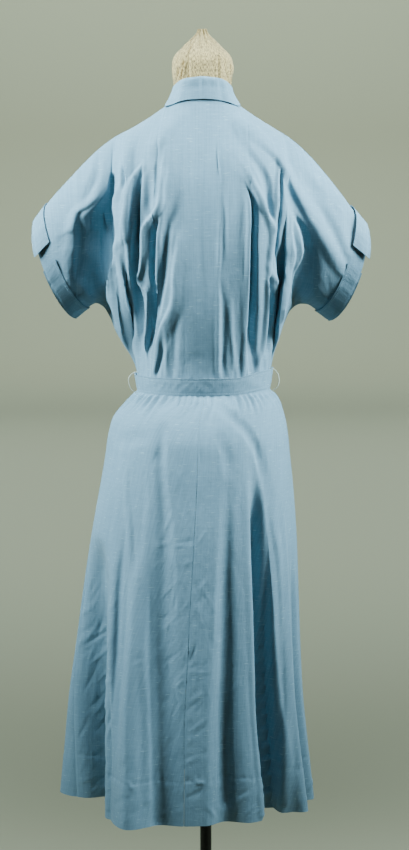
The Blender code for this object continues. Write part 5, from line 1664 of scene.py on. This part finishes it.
@dataclass
class FrontFastening:
    """Button band of the bodice, placket of the skirt, and their buttons."""

    bodice: BodiceShape
    skirt: SkirtShape
    cotton: bpy.types.Material
    thread: bpy.types.Material
    plastic: bpy.types.Material
    half_width: float = 0.015
    gap: float = 0.0014
    thickness: float = 0.0016
    columns: int = 24
    bodice_buttons: tuple[float, ...] = (1.405, 1.328, 1.251, 1.174, 1.097)
    placket_buttons: tuple[float, ...] = (0.972, 0.936)
    button_radius: float = 0.0075
    button_thickness: float = 0.003
    button_gap: float = 0.0008
    stitch_inset: float = 0.0025
    hole_half: float = 0.0085
    hole_row: float = 0.0009
    thread_hole: float = 0.00125

    def on_bodice(self, across: Array, heights: Array) -> tuple[Array, Array]:
        """Points and normals of the front at distances from the centre and heights.

        The ribs near the centre are read at each height, and then across them.
        """
        points, normals = np.empty((2, len(across), len(heights), 3))
        for side in Side:
            chosen = (across < 0) if side is Side.LEFT else (across >= 0)
            ribs, alongs = np.linspace(0, 3, 31), np.linspace(0, 1, 161)
            grid = self.bodice.point(side, True, *np.meshgrid(ribs, alongs, indexing="ij"))
            drops = [(-line[:, 2], np.abs(line[:, 0])) for line in grid]
            along_at = np.array([np.interp(-heights, drop, alongs) for drop, _ in drops])
            out_at = np.array([np.interp(-heights, drop, out) for drop, out in drops])
            rib = np.array([np.interp(np.abs(across[chosen]), outs, ribs) for outs in out_at.T]).T
            along = np.array([np.interp(at, ribs, alongs_there)
                              for at, alongs_there in zip(rib.T, along_at.T)]).T
            points[chosen] = self.bodice.point(side, True, rib, along)
            normals[chosen] = self.bodice.normal(side, True, np.maximum(rib, 0.05), along)
        return points, normals

    def on_skirt(self, across: Array, heights: Array) -> tuple[Array, Array]:
        """Points and normals of the skirt's front at distances from the centre and heights."""
        half_width = read_table(SKIRT_RINGS, heights)[0]
        angle = 180 - np.degrees(np.arcsin(across[:, None] / half_width[None, :]))
        height = np.broadcast_to(heights, angle.shape)
        return self.skirt.point(angle, height), self.skirt.normal(angle, height)

    def strip(self, node: str, place: PlaceOn, heights: Array,
              holes: tuple[float, ...]) -> list[bpy.types.Object]:
        """A strip of cloth on the centre front, stitched along both edges, with buttonholes.

        Args:
            node: The node it stands for.
            place: Method that gives points and normals.
            heights: Heights along it.
            holes: Heights of its buttonholes.

        Returns:
            The strip and its stitching.
        """
        across = np.linspace(-self.half_width, self.half_width, self.columns)
        points, normals = place(across, heights)
        edge = self.half_width - np.abs(across)
        lift = -0.0004 * np.exp(-(((edge - self.stitch_inset) / 0.0008) ** 2))
        inside = points + self.gap * normals
        outside = inside + normals * (self.thickness + lift)[:, None, None]
        piece = cloth_wall(node, outside, inside, self.cotton, flat_grid(across, heights))
        stitched = self.half_width - self.stitch_inset
        lines = [(out, heights, -0.0002) for out in (-stitched, stitched)]
        for height in holes:
            levels = np.linspace(height - self.hole_half, height + self.hole_half, 12)
            lines += [(out, levels, 0.0001) for out in (-self.hole_row, self.hole_row)]
        rows = []
        for out, levels, above in lines:
            line, up = place(np.array((out,)), levels)
            rows.append((line[0] + up[0] * (self.gap + self.thickness + above), up[0]))
        return [piece, topstitching(node, rows, self.thread)]

    def button(self, name: str, seat: Array, normal: Array) -> list[bpy.types.Object]:
        """A turned button with a raised rim, a dished face, four holes and its thread.

        The upper face is a profile over the distance from the middle, with a round dip at each
        hole; the lower face is flat.

        Args:
            name: The node it stands for.
            seat: Middle of its underside.
            normal: The way it faces.

        Returns:
            The button and its thread.
        """
        sides, steps = 56, 26
        turn = round_circle(sides)
        radius = self.button_radius * np.sqrt(np.linspace(0.0004, 1, steps))
        share = radius / self.button_radius
        rim = np.exp(-(((share - 0.80) / 0.13) ** 2))
        rounded = np.sqrt(np.clip(1 - share**14, 0, 1))
        profile = self.button_thickness * (0.62 + 0.38 * rim) * rounded
        flat_x = radius[:, None] * np.cos(turn)
        flat_y = radius[:, None] * np.sin(turn)
        height = np.broadcast_to(profile[:, None], flat_x.shape).copy()
        for hole_x, hole_y in ((-1, -1), (-1, 1), (1, -1), (1, 1)):
            away = np.hypot(flat_x - hole_x * self.thread_hole, flat_y - hole_y * self.thread_hole)
            height -= 0.0015 * (1 - ease((away - 0.00045) / 0.0005))
        upper = np.stack((flat_x, flat_y, height), axis=-1)
        lower = np.stack((flat_x[::-1], flat_y[::-1], np.zeros_like(flat_x)), axis=-1)
        points, faces = closed_rings(np.concatenate((upper, lower)), (0, 0, profile[0]), (0, 0, 0))
        up = unit(normal * (0, 1, 1))
        side = np.array((1.0, 0.0, 0.0))
        turned = np.stack((side, np.cross(up, side), up))
        piece = make_object(f"{name}_turned", points @ turned + seat, faces, self.plastic, sharp=60)
        made = [dress_piece(piece, "button_plastic", name)]
        line = np.linspace(-0.00135, 0.00135, 12)
        arch = 0.0019 + 0.0004 * np.cos(line / 0.00135 * math.pi / 2)
        for number, out in enumerate((-self.thread_hole, self.thread_hole), 1):
            bar = np.stack((np.full(12, out), line, arch), axis=-1)
            made.append(dress_piece(tube(f"{name}_thread_{number}", bar @ turned + seat, 0.0003,
                                         self.thread), "blue_cotton"))
        return made

    def build(self) -> list[bpy.types.Object]:
        """Build the band, the placket and the buttons."""
        top, low = self.bodice.neck_front_z - 0.012, self.bodice.waist_z + 0.0145
        band = self.strip("button_band", self.on_bodice, np.linspace(top, low, 120),
                          self.bodice_buttons)
        placket = self.strip("skirt_placket", self.on_skirt, np.linspace(1.0365, 0.925, 50),
                             self.placket_buttons)
        made = band + placket
        seats = [(self.on_bodice, height) for height in self.bodice_buttons]
        seats += [(self.on_skirt, height) for height in self.placket_buttons]
        for number, (place, height) in enumerate(seats, 1):
            point, normal = place(np.array((0.0,)), np.array((height,)))
            up = unit(normal[0, 0] * (0, 1, 1))
            seat = point[0, 0] + up * (self.gap + self.thickness + self.button_gap)
            made += self.button(f"button_{number}", seat, up)
        return made


# Dress form and stand ------------------------------------------------------------------------


class NeckPleat(NamedTuple):
    """A pleat of the neck's wrapping at the back: its two ends, and its depth."""

    top_x: float
    top_z: float
    low_x: float
    low_z: float
    depth: float


NECK_PLEATS = (
    NeckPleat(-0.0275, 1.547, -0.0345, 1.505, 0.0038),
    NeckPleat(-0.0350, 1.537, -0.0430, 1.505, 0.0036),
    NeckPleat(-0.0310, 1.540, -0.0395, 1.505, 0.0016),
    NeckPleat(0.0425, 1.541, 0.0452, 1.510, 0.0034),
    NeckPleat(0.0360, 1.532, 0.0400, 1.505, 0.0016),
    NeckPleat(-0.0120, 1.575, -0.0200, 1.555, 0.0014),
    NeckPleat(0.0090, 1.578, 0.0240, 1.556, 0.0014),
)


@dataclass
class DressForm:
    """Padded torso and wrapped neck, on a pole with a round base."""

    stockinette: bpy.types.Material
    steel: bpy.types.Material
    iron: bpy.types.Material
    sides: int = 240
    top_z: float = 1.5915
    pole_radius: float = 0.009
    base_radius: float = 0.17
    bottom_z: float = 0.800
    socket_top_z: float = 0.040

    def body(self) -> bpy.types.Object:
        """Build the torso and neck: rings of the table, with pleats where the neck is wrapped."""
        heights = np.concatenate((np.linspace(self.top_z, 1.47, 70),
                                  np.linspace(1.469, self.bottom_z, 80)))
        half_width, back, front, squareness = (
            values[:, None] for values in read_table(FORM_RINGS[::-1], heights))
        turn = round_circle(self.sides)[None, :]
        across, forward = superellipse(turn, squareness)
        x = half_width * across
        y = np.where(np.sin(turn) > 0, front, back) * forward
        on_neck = ease((heights - 1.50) / 0.03)[:, None]
        on_collar = ease((heights - 1.49) / 0.01)[:, None]
        near_top = ease((heights - 1.552) / 0.02)[:, None]
        # Pleats of the wrapping run up to the gathered point
        pleats = -0.0011 * np.abs(np.sin(turn * 7 + 14 * (heights[:, None] - 1.5))) ** 9 * on_neck
        knots = 0.0012 * np.sin(turn * 11 + heights[:, None] * 60) * near_top
        folds = np.zeros_like(x)
        for pleat in NECK_PLEATS:
            middle = np.interp(heights, (pleat.low_z, pleat.top_z), (pleat.low_x, pleat.top_x))
            apart = x - middle[:, None]
            shown = ease((pleat.top_z - heights) / 0.008)[:, None] * (y < 0)
            folds -= pleat.depth * np.exp(-((apart / 0.0016) ** 2)) * shown * on_collar
            lip = np.exp(-(((apart - 0.0032) / 0.0020) ** 2))
            folds += 0.5 * pleat.depth * lip * shown * on_collar
        scale = 1 + (pleats + knots + folds) / np.maximum(half_width, 0.01)
        level = np.broadcast_to(heights[:, None], x.shape)
        points, faces = closed_rings(np.stack((x * scale, y * scale, level), axis=-1),
                                     (0, 0, self.top_z), (0, 0, self.bottom_z))
        around = np.broadcast_to(turn * 0.095, level.shape)
        flat = np.concatenate((np.stack((around, level), axis=-1).reshape(-1, 2),
                               ((0.3, self.top_z), (0.3, self.bottom_z))))
        piece = make_object("form_body_covered", points, faces, self.stockinette, flat, sharp=60)
        return dress_piece(piece, "stockinette", "form_body")

    def turned(self, name: str, node: str, slot: str, profile: tuple[tuple[float, float], ...],
               material: bpy.types.Material) -> bpy.types.Object:
        """A turned piece: its profile of (radius, height), from the top down, round the axis."""
        sides = 128
        turn = round_circle(sides)
        radius, height = np.array(profile).T
        rings = np.stack((radius[:, None] * np.cos(turn), radius[:, None] * np.sin(turn),
                          np.broadcast_to(height[:, None], (len(radius), sides))), axis=-1)
        points, faces = closed_rings(rings, (0, 0, height[0]), (0, 0, height[-1]))
        return dress_piece(make_object(name, points, faces, material, sharp=30), slot, node)

    def build(self) -> list[bpy.types.Object]:
        """Build the body, the pole and the base."""
        top, low = self.bottom_z - SEAM_GAP, self.socket_top_z + SEAM_GAP
        rod = self.pole_radius
        pole = ((rod - 0.001, top), (rod, top - 0.001), (rod, low + 0.001), (rod - 0.001, low))
        corner = np.linspace(0, math.pi / 2, 8)
        base = [(0.0186, self.socket_top_z), (0.0205, self.socket_top_z - 0.0006),
                (0.0217, self.socket_top_z - 0.0018), (0.0222, self.socket_top_z - 0.0035)]
        base += [(0.0225, 0.026), (0.0229, 0.0215)]
        base += [(0.032 - 0.009 * math.cos(a), 0.0205 - 0.0085 * math.sin(a)) for a in corner]
        base += [(0.060, 0.0113), (0.110, 0.0100), (self.base_radius - 0.006, 0.0088)]
        base += [(self.base_radius - 0.006 + 0.006 * math.sin(a), 0.0028 + 0.006 * math.cos(a))
                 for a in corner[1:]]
        base += [(self.base_radius, 0.0008), (self.base_radius - 0.0008, 0.0)]
        return [self.body(),
                self.turned("form_pole_tube", "form_pole", "black_steel", pole, self.steel),
                self.turned("form_base_casting", "form_base", "black_iron", tuple(base), self.iron)]


# Studio --------------------------------------------------------------------------------------


# Name, watts, size, place, target, and spread in degrees
LAMPS = (
    ("softbox_right", 28.0, (0.7, 0.9), (1.55, -0.45, 2.15), (0.0, 0.0, 1.35), 60),
    ("softbox_left", 28.0, (0.7, 0.9), (-1.55, -0.45, 2.15), (0.0, 0.0, 1.35), 60),
    ("softbox_overhead", 3.5, (0.8, 0.5), (0.0, -0.3, 2.9), (0.0, 0.0, 1.4), 70),
    ("softbox_front", 12.0, (0.9, 0.9), (0.0, 2.4, 2.7), (0.0, 0.0, 1.0), 60),
    ("backdrop_strip", 235.0, (8.0, 0.5), (0.0, 9.4, 4.5), (0.0, 12.4, 1.5), 110),
    ("floor_strip", 295.0, (8.0, 8.0), (0.0, 5.7, 4.5), (0.0, 5.7, 0.0), 80),
)


@dataclass
class Studio:
    """Pale floor that sweeps up into a backdrop, soft light, and the photograph's camera."""

    grey: str = "b3a887"
    lamp_colour: str = "c6e6f4"
    air_colour: str = "f4e8d2"
    air_strength: float = 0.025
    half_length: float = 14.0
    floor_to: float = 11.0
    sweep_radius: float = 1.4
    wall_top: float = 3.0
    eye: tuple[float, float, float] = (0.0008, -3.8, 1.445)
    tilt_down: float = 6.9
    roll: float = -0.0044
    focal_pixels: float = 2470.0
    frame_height: float = 850.0

    def backdrop(self) -> bpy.types.Object:
        """Build the sweep: floor, quarter circle and wall, drawn along X.

        The wall is low and 12 m off, so that it hides the dress from no side.
        """
        corner = np.linspace(0, math.pi / 2, 24)
        radius, back = self.sweep_radius, self.floor_to
        y = np.concatenate(([-self.half_length], back + radius * np.sin(corner), [back + radius]))
        z = np.concatenate(([0.0], radius - radius * np.cos(corner), [self.wall_top]))
        across = np.array((-self.half_length, self.half_length))
        points = np.stack((np.repeat(across, len(y)), np.tile(y, 2), np.tile(z, 2)), axis=-1)
        paper, shader = new_material("seamless grey-green paper")
        set_inputs(shader, Base_Color=linear(self.grey), Roughness=0.95)
        made = make_object("studio_sweep", points, grid_faces(2, len(y)), paper, sharp=180)
        return made

    def light(self, name: str, energy: float, size: tuple[float, float],
              place: tuple[float, float, float], target: tuple[float, float, float],
              spread: float) -> None:
        """Add a rectangular soft light that points at a target; spread is in degrees."""
        lamp = bpy.data.lights.new(name, "AREA")
        lamp.shape = "RECTANGLE"
        lamp.energy, (lamp.size, lamp.size_y) = energy, size
        lamp.color = linear(self.lamp_colour)[:3]
        lamp.spread = math.radians(spread)
        made = bpy.data.objects.new(name, lamp)
        made.location = place
        made.rotation_euler = (Vector(target) - Vector(place)).to_track_quat("-Z", "Y").to_euler()
        bpy.context.scene.collection.objects.link(made)

    def camera(self) -> None:
        """Add the camera: level with the collar, tilted down to the middle of the dress."""
        lens = bpy.data.cameras.new("photo camera")
        lens.sensor_fit = "VERTICAL"
        lens.sensor_height = 36.0
        lens.lens = self.focal_pixels / self.frame_height * lens.sensor_height
        made = bpy.data.objects.new("photo_camera", lens)
        made.location = self.eye
        turn = Matrix.Rotation(math.radians(90 - self.tilt_down), 4, "X")
        made.rotation_euler = (turn @ Matrix.Rotation(self.roll, 4, "Z")).to_euler()
        bpy.context.scene.collection.objects.link(made)
        bpy.context.scene.camera = made

    def build(self) -> None:
        """Build the set, the light and the camera."""
        self.backdrop()
        world = bpy.data.worlds.new("studio air")
        world.use_nodes = True
        set_inputs(world.node_tree.nodes["Background"], Color=linear(self.air_colour),
                   Strength=self.air_strength)
        bpy.context.scene.world = world
        for name, energy, size, place, target, spread in LAMPS:
            self.light(name, energy, size, place, target, spread)
        self.camera()


def main() -> None:
    """Build the dress, its form and the studio."""
    bodice_shape, skirt_shape = BodiceShape(), SkirtShape()
    cotton = SlubbedCotton("slubbed pale blue cotton").material()
    thread = SewingThread().material()
    plastic = MouldedButton().material()
    assemblies = (
        DressForm(Stockinette().material(),
                  BlackEnamel("black enamelled steel tube", 240.0, 0.36).material(),
                  BlackEnamel("black enamelled cast iron", 420.0, 0.5).material()),
        Bodice(bodice_shape, cotton),
        Skirt(skirt_shape, cotton),
        Collar(bodice_shape, cotton),
        Cuffs(bodice_shape, cotton, thread),
        Belt(bodice_shape, cotton, thread,
             SewingThread("cream linen thread", "e3e2d0", "c9c7b0").material()),
        FrontFastening(bodice_shape, skirt_shape, cotton, thread, plastic),
    )
    for assembly in assemblies:
        made = assembly.build()
        LOG.info("%s: %d pieces", type(assembly).__name__, len(made))
    Studio().build()


if __name__ == "__main__":
    main()
